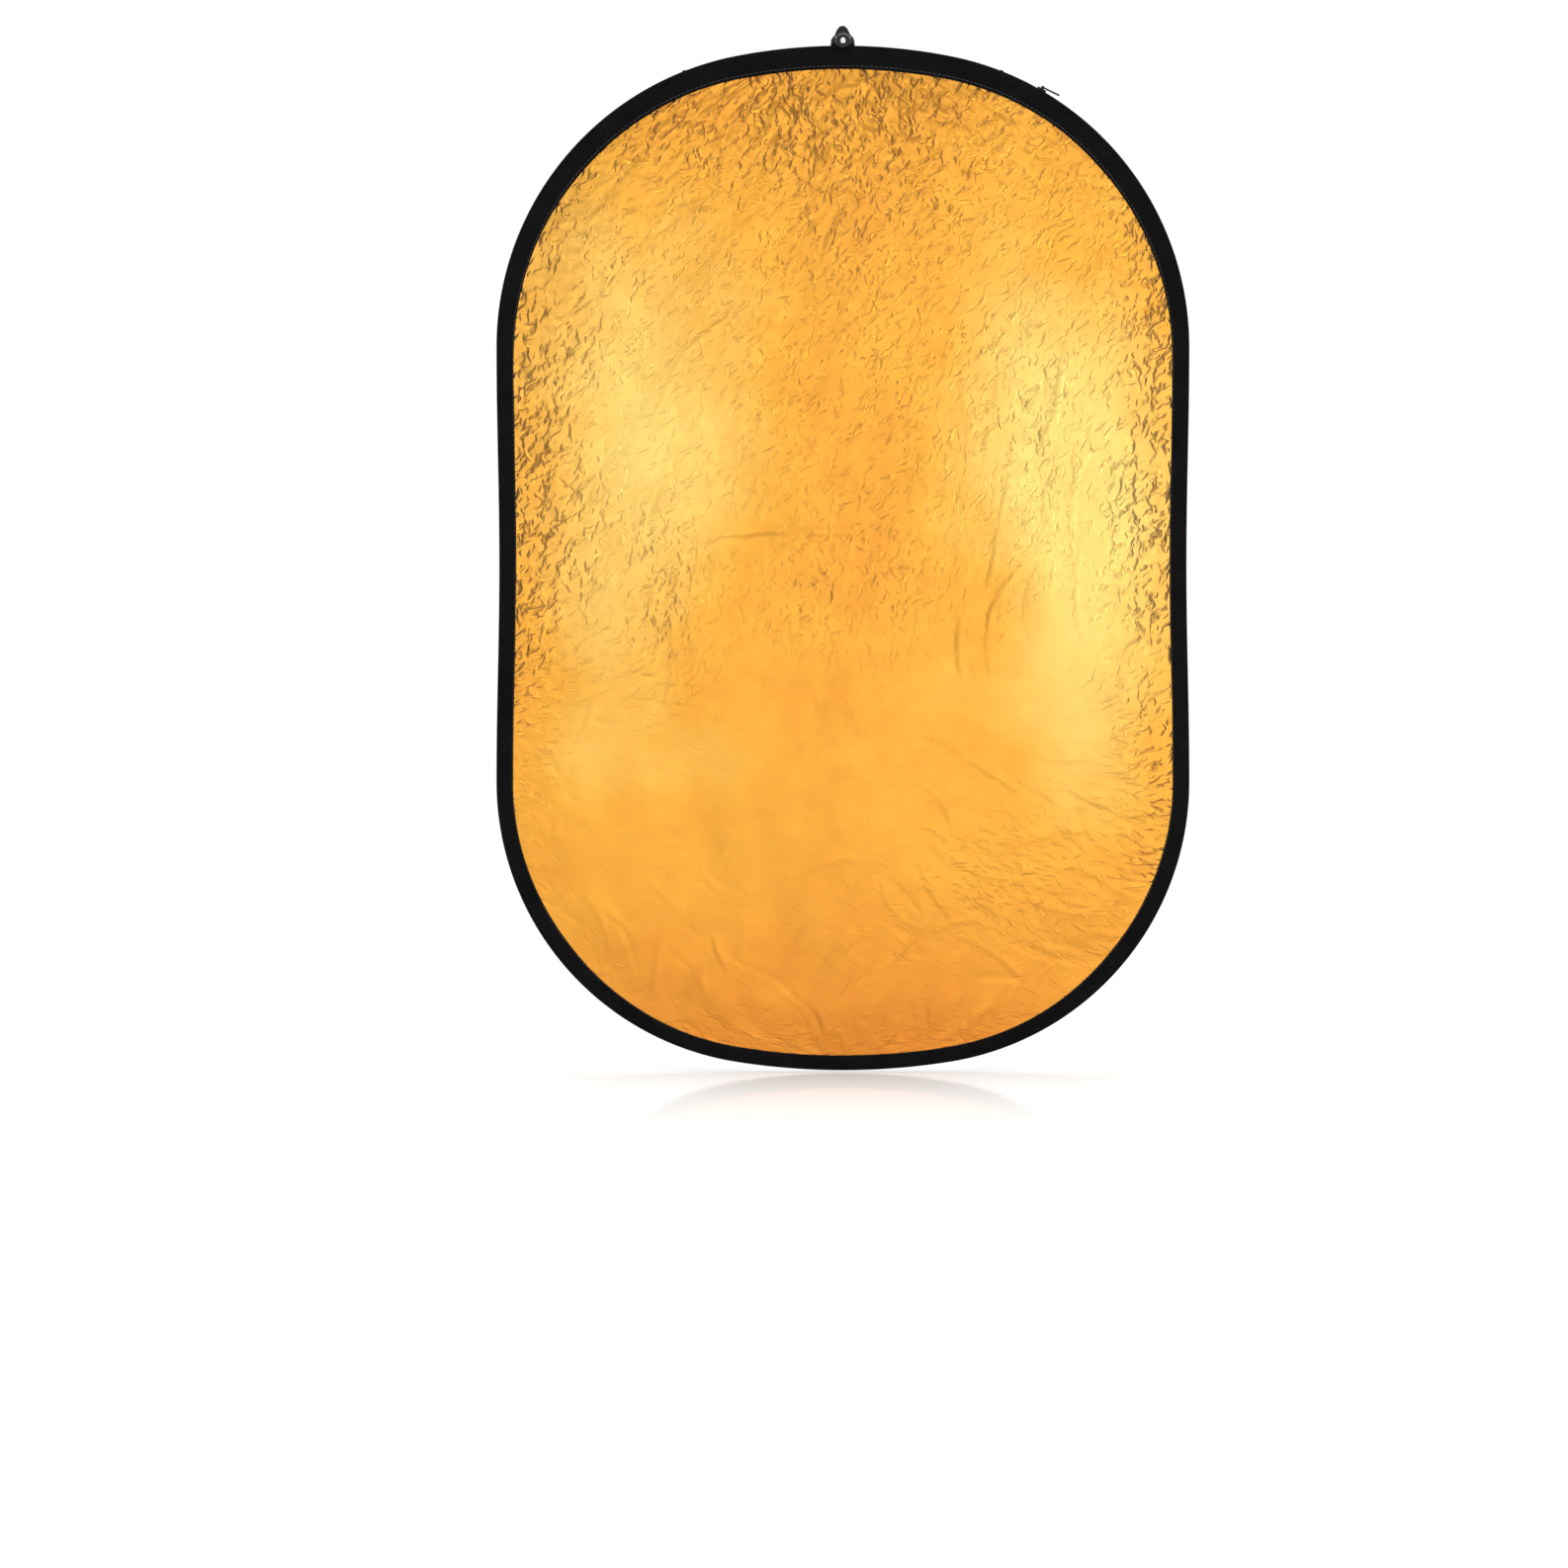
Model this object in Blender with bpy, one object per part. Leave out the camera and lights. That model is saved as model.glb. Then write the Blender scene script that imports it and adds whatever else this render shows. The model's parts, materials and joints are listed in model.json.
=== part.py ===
"""Oval collapsible reflector, 60 x 90 cm, held at its top edge by a spring-jaw stand holder.

Metres, +Z up. The origin is the centre of the collar's lower rim, on the stand's axis. The holder's
arm runs along -Y and the reflector hangs below it in a plane parallel to XZ, gold side towards -Y.
"""
from math import cos, pi, radians, sin

import bmesh
import bpy
from mathutils import Matrix, Vector

MM = 0.001
CLEARANCE = 0.3 * MM

# Reflector outline
WIDTH = 0.606
HEIGHT = 0.896
TOP_RADIUS, TOP_JOIN = 0.490, radians(11)
BOTTOM_RADIUS, BOTTOM_JOIN = 0.600, radians(9)
WAIST = 0.0025
END_STEPS, CORNER_STEPS, SIDE_STEPS = 2, 12, 4

# Holder
ARM_Z = 43.0 * MM
REFLECTOR_Y = -58.0 * MM
RIM_TOP_Z = ARM_Z - 3.2 * MM
HINGE_Z = RIM_TOP_Z - 11.0 * MM
COLLAR_RADIUS = 11.5 * MM
SOCKET_RADIUS = 8.1 * MM
SOCKET_DEPTH = 24.0 * MM
COLLAR_TOP = 32.0 * MM
SCREW_Z = 13.0 * MM
SCREW_ANGLE = radians(-5)
SCREW_RADIUS = 3.0 * MM
SLEEVE_NOSE = -53.6 * MM
SLEEVE_REAR = -26.6 * MM
SLEEVE_RADIUS = 10.85 * MM
SLEEVE_BORE = 9.5 * MM
EAR_REACH = 18.4 * MM
NECK_RADIUS = 2.9 * MM
SPRING_TURNS = 5

# Rim section, millimetres: (inward from the edge, from the middle plane)
BEAD_HALF = 4.1
BINDING_WIDTH = 20.5
BINDING = [
    (0.0, 1.6), (0.6, 1.6), (0.6, 3.0), (1.4, 3.5), (8.0, 3.5), (12.0, 2.6), (BINDING_WIDTH, 2.6),
    (BINDING_WIDTH, 3.2), (12.2, 3.2), (8.2, BEAD_HALF), (1.2, BEAD_HALF), (0.0, 3.1),
]
# Rim tape: height of a place on the outline in metres, and the tape's width there in millimetres
TAPE_WIDTHS = [
    (RIM_TOP_Z, BINDING_WIDTH), (-0.050, 20.0), (-0.240, 15.0), (-0.620, 14.5), (-0.760, 15.5),
    (RIM_TOP_Z - HEIGHT, 13.0),
]
ZIP_HALF = [(0.2, 0.6), (0.2, 1.2), (0.9, 1.2), (0.9, 2.7), (1.3, 2.7), (1.3, 0.6)]
POCKET_SIDE = [(3.5, 2.75), (6.8, 2.75), (10.3, 0.5), (16.0, 0.5), (16.0, 0.9), (10.5, 0.9), (7.0, 3.25)]
HOOP = [(4.2, -2.1), (5.0, -2.1), (5.0, 2.1), (4.2, 2.1)]
FERRULE_INNER = [(4.0, -2.3), (5.2, -2.3), (5.2, 2.3), (4.0, 2.3)]
FERRULE_OUTER = [(3.75, -2.55), (5.45, -2.55), (5.45, 2.55), (3.75, 2.55)]
FACE_EDGE = 9.6
LINING_EDGE = 10.6

# Zip: it starts this share of the way along a step of the corner arc; the rest are angles from straight up
ZIP_START_STEP, ZIP_START_SHARE = 1, 0.4
SLIDER_ANGLE = radians(30)
STOP_ANGLE = radians(21.5)


def material(name, colour, roughness, metallic=0.0):
    """A plain Principled material, made once for each name."""
    found = bpy.data.materials.get(name)
    if found:
        return found
    made = bpy.data.materials.new(name)
    made.use_nodes = True
    shader = made.node_tree.nodes["Principled BSDF"]
    shader.inputs["Base Color"].default_value = (*colour, 1.0)
    shader.inputs["Roughness"].default_value = roughness
    shader.inputs["Metallic"].default_value = metallic
    made.diffuse_color = (*colour, 1.0)
    return made


def gold_foil():
    return material("gold_foil", (0.95, 0.50, 0.09), 0.35, 1.0)


def silver_foil():
    return material("silver_foil", (0.80, 0.80, 0.81), 0.35, 1.0)


def white_fabric():
    return material("white_fabric", (0.90, 0.90, 0.90), 0.8)


def black_fabric():
    return material("black_fabric", (0.015, 0.015, 0.016), 0.9)


def diffuser_fabric():
    return material("diffuser_fabric", (0.93, 0.93, 0.93), 0.7)


def binding_tape():
    return material("binding_tape", (0.012, 0.012, 0.013), 0.85)


def spring_steel():
    return material("spring_steel", (0.35, 0.36, 0.38), 0.35, 1.0)


def zipper_coil():
    return material("zipper_coil", (0.02, 0.02, 0.02), 0.5)


def zip_metal():
    return material("zip_metal", (0.10, 0.10, 0.11), 0.4, 1.0)


def black_abs():
    return material("black_abs", (0.02, 0.02, 0.02), 0.45)


def knob_plastic():
    return material("knob_plastic", (0.01, 0.01, 0.01), 0.15)


def chrome():
    return material("chrome", (0.85, 0.85, 0.86), 0.08, 1.0)


def screw_steel():
    return material("screw_steel", (0.60, 0.60, 0.62), 0.3, 1.0)


def add_object(name, mesh, finish, parent, smooth=radians(35)):
    """Puts a mesh into the scene, outward faces, smooth shaded, at its parent's place."""
    work = bmesh.new()
    work.from_mesh(mesh)
    bmesh.ops.remove_doubles(work, verts=work.verts, dist=1e-6)
    bmesh.ops.recalc_face_normals(work, faces=work.faces)
    work.to_mesh(mesh)
    work.free()
    mesh.shade_smooth()
    mesh.set_sharp_from_angle(angle=smooth)
    made = bpy.data.objects.new(name, mesh)
    bpy.context.scene.collection.objects.link(made)
    if finish:
        mesh.materials.append(finish)
    if parent:
        made.parent = parent
        made.matrix_parent_inverse = parent.matrix_world.inverted()
    return made


def pivot(name, place, parent=None):
    """An empty on a joint's axis, which carries the pieces that move with it."""
    made = bpy.data.objects.new(name, None)
    bpy.context.scene.collection.objects.link(made)
    made.empty_display_size = 0.02
    if parent:
        made.parent = parent
        made.location = Vector(place) - parent.matrix_world.translation
    else:
        made.location = place
    bpy.context.view_layer.update()
    return made


def grid_mesh(name, rings, closed):
    """Joins equal rings of points into one skin; closed rings form a loop, open ones get end caps."""
    mesh = bpy.data.meshes.new(name)
    size = len(rings[0])
    points = [point for ring in rings for point in ring]
    faces = []
    for i in range(len(rings) if closed else len(rings) - 1):
        a = i * size
        b = (i + 1) % len(rings) * size
        for j in range(size):
            k = (j + 1) % size
            faces.append((a + j, a + k, b + k, b + j))
    if not closed:
        faces.append(tuple(range(size)))
        faces.append(tuple(range((len(rings) - 1) * size, len(rings) * size)))
    mesh.from_pydata(points, [], faces)
    return mesh


def turned(name, profile, turn, steps=32, closed=False):
    """A turned solid. profile rows are (radius, height) or (radius x, radius y, height), millimetres
    along the local Z axis; a radius may also be a function of the angle. turn places it."""
    rings = []
    for row in profile:
        rx, ry, height = row if len(row) == 3 else (row[0], row[0], row[1])
        ring = []
        for j in range(steps):
            angle = 2 * pi * j / steps
            ax = rx(angle) if callable(rx) else rx
            ay = ry(angle) if callable(ry) else ry
            ring.append(turn @ Vector((ax * cos(angle), ay * sin(angle), height)))
        rings.append([point * MM for point in ring])
    return grid_mesh(name, rings, closed)


def frame_at(place, outward):
    """A matrix, in millimetres, whose Z axis points outward from a place."""
    spin = Vector((0, 0, 1)).rotation_difference(Vector(outward)).to_matrix().to_4x4()
    return Matrix.Translation(Vector(place) / MM) @ spin


def along_arm():
    """Local Z is world -Y, measured from the stand's axis; local Y is world Z."""
    return Matrix.Translation((0, 0, ARM_Z / MM)) @ Matrix.Rotation(pi / 2, 4, "X")


def cut(target, mesh, operation="DIFFERENCE"):
    """Applies a hidden shape to a target with an exact Boolean."""
    tool = add_object(target.name + "_tool", mesh, None, None)
    tool.hide_render = True
    tool.hide_set(True)
    tool.display_type = "WIRE"
    step = target.modifiers.new(operation.lower(), "BOOLEAN")
    step.operation = operation
    step.solver = "EXACT"
    step.object = tool


def box_mesh(name, low, high, turn=None):
    """A box between two corners in millimetres."""
    mesh = bpy.data.meshes.new(name)
    work = bmesh.new()
    bmesh.ops.create_cube(work, size=1.0)
    size = Vector(high) - Vector(low)
    middle = (Vector(high) + Vector(low)) / 2
    for vertex in work.verts:
        local = Vector(a * b for a, b in zip(vertex.co, size)) + middle
        vertex.co = ((turn or Matrix()) @ local) * MM
    work.to_mesh(mesh)
    work.free()
    return mesh


# ---------------------------------------------------------------- reflector outline


def end_stations(radius, join, end_z, up):
    """Points and inward normals from the middle of one end round to the straight side."""
    half = WIDTH / 2
    corner = (half - radius * sin(join)) / (1 - sin(join))
    stations = []
    for i in range(END_STEPS):
        angle = join * i / END_STEPS
        stations.append((radius * sin(angle), end_z - up * radius * (1 - cos(angle)), angle))
    centre_x = (radius - corner) * sin(join)
    centre_z = end_z - up * (radius - (radius - corner) * cos(join))
    for i in range(CORNER_STEPS + 1):
        angle = join + (pi / 2 - join) * i / CORNER_STEPS
        stations.append((centre_x + corner * sin(angle), centre_z + up * corner * cos(angle), angle))
    placed = [(Vector((x, z)), Vector((-sin(a), -up * cos(a)))) for x, z, a in stations]
    return placed, corner, Vector((centre_x, centre_z))


def outline():
    """Stations clockwise from the top middle, and the top right corner's radius and centre."""
    bottom_z = RIM_TOP_Z - HEIGHT
    top, corner, centre = end_stations(TOP_RADIUS, TOP_JOIN, RIM_TOP_Z, 1)
    bottom = end_stations(BOTTOM_RADIUS, BOTTOM_JOIN, bottom_z, -1)[0]
    high, low = top[-1][0].y, bottom[-1][0].y
    side = []
    for i in range(1, SIDE_STEPS):
        part = i / SIDE_STEPS
        x = WIDTH / 2 - WAIST * (1 - cos(2 * pi * part)) / 2
        slope = WAIST * pi * sin(2 * pi * part) / (high - low)
        side.append((Vector((x, high + (low - high) * part)), Vector((-1, -slope)).normalized()))
    right = top + side + bottom[::-1]
    left = [(Vector((-p.x, p.y)), Vector((-n.x, n.y))) for p, n in right[1:-1]]
    return right + left[::-1], corner, centre


STATIONS, CORNER, CORNER_CENTRE = outline()


def tape_width(height):
    """The rim tape's width at a height: broad over the top, narrower down the sides and below."""
    for (high, first), (low, last) in zip(TAPE_WIDTHS, TAPE_WIDTHS[1:]):
        if height >= low:
            share = min(1.0, (high - height) / (high - low))
            return first + (last - first) * share
    return TAPE_WIDTHS[-1][1]


def placed_section(station, section):
    """A rim section, in millimetres, at one station of the outline."""
    point, inward = station
    ring = []
    for depth, offset in section:
        if depth == BINDING_WIDTH:
            depth = tape_width(point.y)
        flat = point + inward * depth * MM
        ring.append(Vector((flat.x, REFLECTOR_Y + offset * MM, flat.y)))
    return ring


def rim_ring(name, section, finish, parent, stations=None):
    """Sweeps a section round the whole outline, or along the stations given."""
    rings = [placed_section(s, section) for s in (stations or STATIONS)]
    mesh = grid_mesh(name, rings, closed=stations is None)
    return add_object(name, mesh, finish, parent)


def mirrored(section):
    return [(depth, -offset) for depth, offset in section]


def panel(name, edge, near, far, finish, parent):
    """A flat sheet inside the rim, between two offsets from the middle plane, millimetres."""
    corners = [placed_section(s, [(edge, near), (edge, far)]) for s in STATIONS]
    rings = [[pair[0] for pair in corners], [pair[1] for pair in corners]]
    return add_object(name, grid_mesh(name, rings, closed=False), finish, parent)


def corner_station(angle, side=1):
    """A station on the top corner arc at an angle from straight up."""
    point = CORNER_CENTRE + CORNER * Vector((sin(angle), cos(angle)))
    return Vector((side * point.x, point.y)), Vector((-side * sin(angle), -cos(angle)))


def keep_half(piece, height, above):
    """Cuts a closed piece at a level and caps the cut."""
    work = bmesh.new()
    work.from_mesh(piece.data)
    everything = work.verts[:] + work.edges[:] + work.faces[:]
    level = Vector((0, 0, height)) - piece.matrix_world.translation
    cutting = bmesh.ops.bisect_plane(
        work, geom=everything, plane_co=level, plane_no=(0, 0, 1), clear_inner=above, clear_outer=not above
    )
    rim = [item for item in cutting["geom_cut"] if isinstance(item, bmesh.types.BMEdge)]
    bmesh.ops.edgeloop_fill(work, edges=rim)
    bmesh.ops.recalc_face_normals(work, faces=work.faces)
    work.to_mesh(piece.data)
    work.free()


def build_reflector(arm):
    """Hoop, diffuser, the rear of the cover and the sewn header: everything that hangs in the jaws."""
    body = pivot("reflector", (0, REFLECTOR_Y, ARM_Z), arm)
    rim_ring("spring_hoop", HOOP, spring_steel(), body)
    build_ferrule(body)
    outer = [(3.0, 3.25), (3.0, -3.25)]
    pocket = POCKET_SIDE + outer + mirrored(POCKET_SIDE)[::-1]
    rim_ring("hoop_binding", pocket, binding_tape(), body)
    panel("diffuser_panel", 6.5, -0.2, 0.2, diffuser_fabric(), body)
    panel("black_lining", LINING_EDGE, 1.2, 1.6, black_fabric(), body)
    panel("white_face", FACE_EDGE, 1.9, 2.3, white_fabric(), body)
    rim_ring("rear_binding", BINDING, binding_tape(), body)
    header = rim_ring("front_binding_header", mirrored(BINDING), binding_tape(), body)
    keep_half(header, HINGE_Z + CLEARANCE / 2, above=True)
    rim_ring("zip_coil_rear", ZIP_HALF, zipper_coil(), body, zip_stations())
    for side, label in ((1, "right"), (-1, "left")):
        build_zip_stop("zip_stop_" + label, side, body)
    return body


def build_ferrule(body):
    """A flat tube over the butted ends of the hoop, at the bottom middle."""
    middle = END_STEPS * 2 + CORNER_STEPS * 2 + SIDE_STEPS
    centre = STATIONS[middle]
    reach = 12.0 * MM / (STATIONS[middle + 1][0] - centre[0]).length
    stations = []
    for neighbour in (STATIONS[middle - 1], centre, STATIONS[middle + 1]):
        share = reach if neighbour is not centre else 0
        point = centre[0].lerp(neighbour[0], share)
        stations.append((point, centre[1].lerp(neighbour[1], share)))
    outer = [placed_section(s, FERRULE_OUTER) for s in stations]
    inner = [placed_section(s, FERRULE_INNER) for s in stations]
    mesh = grid_mesh("hoop_ferrule", outer + inner[::-1], closed=True)
    add_object("hoop_ferrule", mesh, screw_steel(), body)


def zip_stations():
    """From the right end of the zip, down round the bottom, to its left end."""
    first = END_STEPS + ZIP_START_STEP
    count = len(STATIONS)
    start = part_way(STATIONS[first], STATIONS[first + 1])
    end = part_way(STATIONS[count - first], STATIONS[count - first - 1])
    return [start] + STATIONS[first + 1:count - first] + [end]


def part_way(station, following):
    """A station on the flat between two others."""
    point = station[0].lerp(following[0], ZIP_START_SHARE)
    return point, station[1].lerp(following[1], ZIP_START_SHARE).normalized()


def build_zip_stop(name, side, body):
    """A crimp that bridges the edge just outside the coil's end."""
    half_length = 1.5 * MM / CORNER
    section = [(-0.9, -1.3), (-0.3, -1.3), (-0.3, 1.3), (-0.9, 1.3)]
    stations = [corner_station(STOP_ANGLE + k * half_length, side) for k in (-1, 1)]
    rim_ring(name, section, zip_metal(), body, stations)


def build_front_cover(reflector):
    """The zipped front of the cover: gold face, silver lining, its rim tape and zip half."""
    hinge_y = REFLECTOR_Y - (BEAD_HALF + 0.05) * MM
    body = pivot("cover_front", (0, hinge_y, HINGE_Z), reflector)
    panel("gold_face", FACE_EDGE, -1.9, -2.3, gold_foil(), body)
    panel("silver_lining", LINING_EDGE, -1.2, -1.6, silver_foil(), body)
    tape = rim_ring("front_binding", mirrored(BINDING), binding_tape(), body)
    keep_half(tape, HINGE_Z - CLEARANCE / 2, above=False)
    rim_ring("zip_coil_front", mirrored(ZIP_HALF), zipper_coil(), body, zip_stations())


def slider_frame():
    """Millimetres: local X runs along the zip, local Y is world Y, local Z points out of the rim."""
    point, inward = corner_station(SLIDER_ANGLE)
    along = Vector((cos(SLIDER_ANGLE), 0, -sin(SLIDER_ANGLE)))
    out = Vector((-inward.x, 0, -inward.y))
    axes = Matrix((along, (0, 1, 0), out)).transposed().to_4x4()
    return Matrix.Translation(Vector((point.x, REFLECTOR_Y, point.y)) / MM) @ axes


def build_zip_slider(reflector):
    """An I-section slider with two lugs and a pin, and the tab that hangs on the pin."""
    place = slider_frame()
    centre = (CORNER_CENTRE.x, REFLECTOR_Y, CORNER_CENTRE.y)
    runner = pivot("zip_runner", centre, reflector)
    plate = [(-2.4, -2.2), (2.4, -2.2), (3.9, -1.3), (4.4, 0), (3.9, 1.3), (2.4, 2.2), (-2.4, 2.2)]
    plate += [(-3.9, 1.5), (-4.2, 0), (-3.9, -1.5)]
    rings = [[place @ Vector((x, y, z)) * MM for x, y in plate] for z in (0.5, 1.7)]
    slider = add_object("zip_slider", grid_mesh("zip_slider", rings, closed=False), zip_metal(), runner)
    cut(slider, box_mesh("post", (-1.5, -0.3, -2.2), (2.5, 0.3, 0.9), place), "UNION")
    cut(slider, box_mesh("heel", (-3.5, -1.3, -2.5), (3.5, 1.3, -1.9), place), "UNION")
    for side in (-1, 1):
        low, high = sorted((side * 1.0, side * 1.7))
        cut(slider, box_mesh("lug", (-1.6, low, 1.3), (1.6, high, 4.0), place), "UNION")
    across = place @ Matrix.Translation((0, 0, 3.0)) @ Matrix.Rotation(-pi / 2, 4, "X")
    pin = turned("pin", [(0.45, -1.4), (0.45, 1.4)], across, 12)
    cut(slider, pin, "UNION")

    hang = pivot("zip_tab", place @ Vector((0, 0, 3.0)) * MM, runner)
    lie = place @ Matrix.Translation((0, 0, 3.0)) @ Matrix.Rotation(radians(-4), 4, "Y")
    tab = [(1.0, -0.68), (2.2, -0.68), (3.2, -2.3), (15.0, -2.3), (16.0, -1.2)]
    tab += [(x, -y) for x, y in tab[::-1]]
    rings = [[lie @ Vector((x, y, z)) * MM for x, y in tab] for z in (-0.55, 0.55)]
    puller = add_object("zip_pull", grid_mesh("zip_pull", rings, closed=False), zip_metal(), hang)
    cut(puller, turned("knuckle", [(1.3, -0.66), (1.3, 0.66)], across, 16), "UNION")
    cut(puller, turned("eye", [(0.75, -4.0), (0.75, 4.0)], across, 12))


# ---------------------------------------------------------------- holder


def build_collar():
    """Chrome collar with a blind socket below, and its lower ring."""
    radius, socket = COLLAR_RADIUS / MM, SOCKET_RADIUS / MM
    top, depth = COLLAR_TOP / MM, SOCKET_DEPTH / MM
    profile = [
        (socket, 0), (9.7, 0), (10.0, 0.3), (10.0, 2.5), (radius - 0.4, 2.5), (radius, 2.9),
        (radius, top - 0.5), (radius - 0.5, top), (2.8, top), (2.8, depth), (socket, depth),
    ]
    collar = add_object("stand_collar", turned("collar", profile, Matrix(), 40, closed=True), chrome(), None)
    side = screw_frame()
    cut(collar, turned("screw_way", [(3.3, 5.0), (3.3, 11.0), (5.4, 11.0), (5.4, 20.0)], side, 24))
    boss = [(3.3, 11.3), (5.0, 11.3), (5.0, 13.6), (4.6, 14.0), (3.3, 14.0)]
    add_object("collar_boss", turned("boss", boss, side, 24, closed=True), screw_steel(), collar)
    return collar


def screw_frame():
    """Local Z runs out of the collar along the clamping screw."""
    return frame_at((0, 0, SCREW_Z), (cos(SCREW_ANGLE), sin(SCREW_ANGLE), 0))


def build_lock_screw(collar):
    """The clamping screw and the oval knob moulded on it."""
    side = screw_frame()
    along = pivot("lock_screw_axis", (0, 0, SCREW_Z), collar)
    shank = SCREW_RADIUS / MM
    profile = [(2.2, 8.6), (2.2, 9.3), (shank, 9.8), (shank, 20.0), (shank - 0.5, 20.5)]
    add_object("lock_screw", turned("screw", profile, side, 20), screw_steel(), along)
    spin = pivot("lock_knob_axis", (0, 0, SCREW_Z), along)
    half_length, half_width, back = 11.5, 6.7, 17.0
    hole = shank + 0.3
    rows = [(hole, hole, 20.8), (hole, hole, 15.4), (4.3, 4.3, 15.4), (4.6, 4.6, 15.7), (4.6, 4.6, back)]
    dome = [(0.80, 0.0), (0.93, 0.8), (1.0, 2.6), (1.0, 4.4), (0.92, 6.2), (0.74, 7.6), (0.45, 8.3), (0.16, 8.5)]
    rows += [(half_length * s, half_width * s, back + h) for s, h in dome]
    tilt = side @ Matrix.Rotation(knob_tilt(side), 4, "Z")
    add_object("lock_knob", turned("knob", rows, tilt, 28), knob_plastic(), spin)


def knob_tilt(side):
    """Turns the knob so that its long way lies 14 degrees off level."""
    level = side.to_3x3().inverted() @ Vector((-sin(SCREW_ANGLE), cos(SCREW_ANGLE), 0))
    return Vector((1, 0)).angle_signed(Vector((level.x, level.y))) * -1 + radians(14)


def build_arm(collar):
    """Elbow, swivel screw and washer, plunger shaft, spring and the fixed jaw."""
    arm = pivot("arm", (0, 0, COLLAR_TOP), collar)
    low, high = COLLAR_TOP / MM + 0.3, 53.3
    profile = [
        (2.8, 44.0), (2.8, low), (9.7, low), (10.0, low + 0.4), (10.0, high - 0.6), (9.3, high), (4.0, high),
    ]
    elbow = add_object("elbow_head", turned("elbow", profile, Matrix(), 40), black_abs(), arm)
    cut(elbow, turned("arm_socket", [(4.3, 5.0), (4.3, 16.0)], along_arm(), 24))
    depth = SOCKET_DEPTH / MM
    screw = [(2.9, depth - 4.6), (4.5, depth - 4.3), (4.5, depth - 1.3), (2.5, depth - 1.3), (2.5, 43.5)]
    add_object("swivel_screw", turned("swivel_screw", screw, Matrix(), 20), screw_steel(), arm)
    washer = [(2.8, depth - 1.0), (6.5, depth - 1.0), (6.5, depth - 0.3), (2.8, depth - 0.3)]
    add_object("swivel_washer", turned("washer", washer, Matrix(), 24, closed=True), screw_steel(), arm)
    build_shaft(arm)
    build_spring(arm)
    return arm


def build_shaft(arm):
    """Cross-ribbed shaft: tenon, two guide discs, spring seat, neck with a screw hole, jaw tip."""
    neck = NECK_RADIUS / MM
    profile = [
        (4.0, 5.3), (4.0, 10.4), (7.7, 10.4), (7.7, 12.0), (3.0, 12.0), (3.0, 23.6), (7.7, 23.6), (7.7, 25.2),
        (3.0, 25.2), (3.0, 29.0), (8.8, 29.0), (8.8, 30.4), (neck, 30.4), (neck, 67.1), (1.4, 67.1), (1.4, 60.0),
    ]
    shaft = add_object("plunger_shaft", turned("shaft", profile, along_arm(), 24), black_abs(), arm)
    for wide, tall in ((7.4, 1.3), (1.3, 7.4)):
        rib = box_mesh("rib", (-wide, -tall, 11.0), (wide, tall, 29.6), along_arm())
        cut(shaft, rib, "UNION")
    back = -REFLECTOR_Y / MM + BEAD_HALF + 0.3
    hole = neck + 0.3
    tip = [
        (hole, back + 5.0), (hole, back), (6.5, back), (6.8, back + 0.4), (6.8, back + 6.4), (6.2, back + 8.2),
        (4.8, back + 9.2), (2.9, back + 9.6), (2.9, back + 8.0), (1.7, back + 8.0), (1.7, back + 5.0),
    ]
    tip_mesh = turned("tip", tip, along_arm(), 28, closed=True)
    add_object("jaw_tip", tip_mesh, black_abs(), arm)
    screw = [(1.1, 61.0), (1.1, back + 8.3), (2.6, back + 8.3), (2.6, back + 9.1), (1.8, back + 9.6)]
    add_object("jaw_tip_screw", turned("tip_screw", screw, along_arm(), 16), screw_steel(), arm)


def build_spring(arm):
    """Compression spring between the shaft's seat and the sleeve's front wall."""
    start, end, radius, wire, per_turn = 31.3, 46.7, 5.6, 0.5, 12
    count = SPRING_TURNS * per_turn
    curve = bpy.data.curves.new("sleeve_spring", "CURVE")
    curve.dimensions = "3D"
    curve.bevel_depth = wire * MM
    curve.bevel_resolution = 1
    curve.use_fill_caps = True
    line = curve.splines.new("POLY")
    line.points.add(count)
    for i, point in enumerate(line.points):
        angle = 2 * pi * i / per_turn
        local = Vector((radius * cos(angle), radius * sin(angle), start + (end - start) * i / count))
        point.co = (*(along_arm() @ local * MM), 1.0)
    spring = bpy.data.objects.new("sleeve_spring", curve)
    curve.materials.append(spring_steel())
    bpy.context.scene.collection.objects.link(spring)
    spring.parent = arm
    spring.matrix_parent_inverse = arm.matrix_world.inverted()


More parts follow.
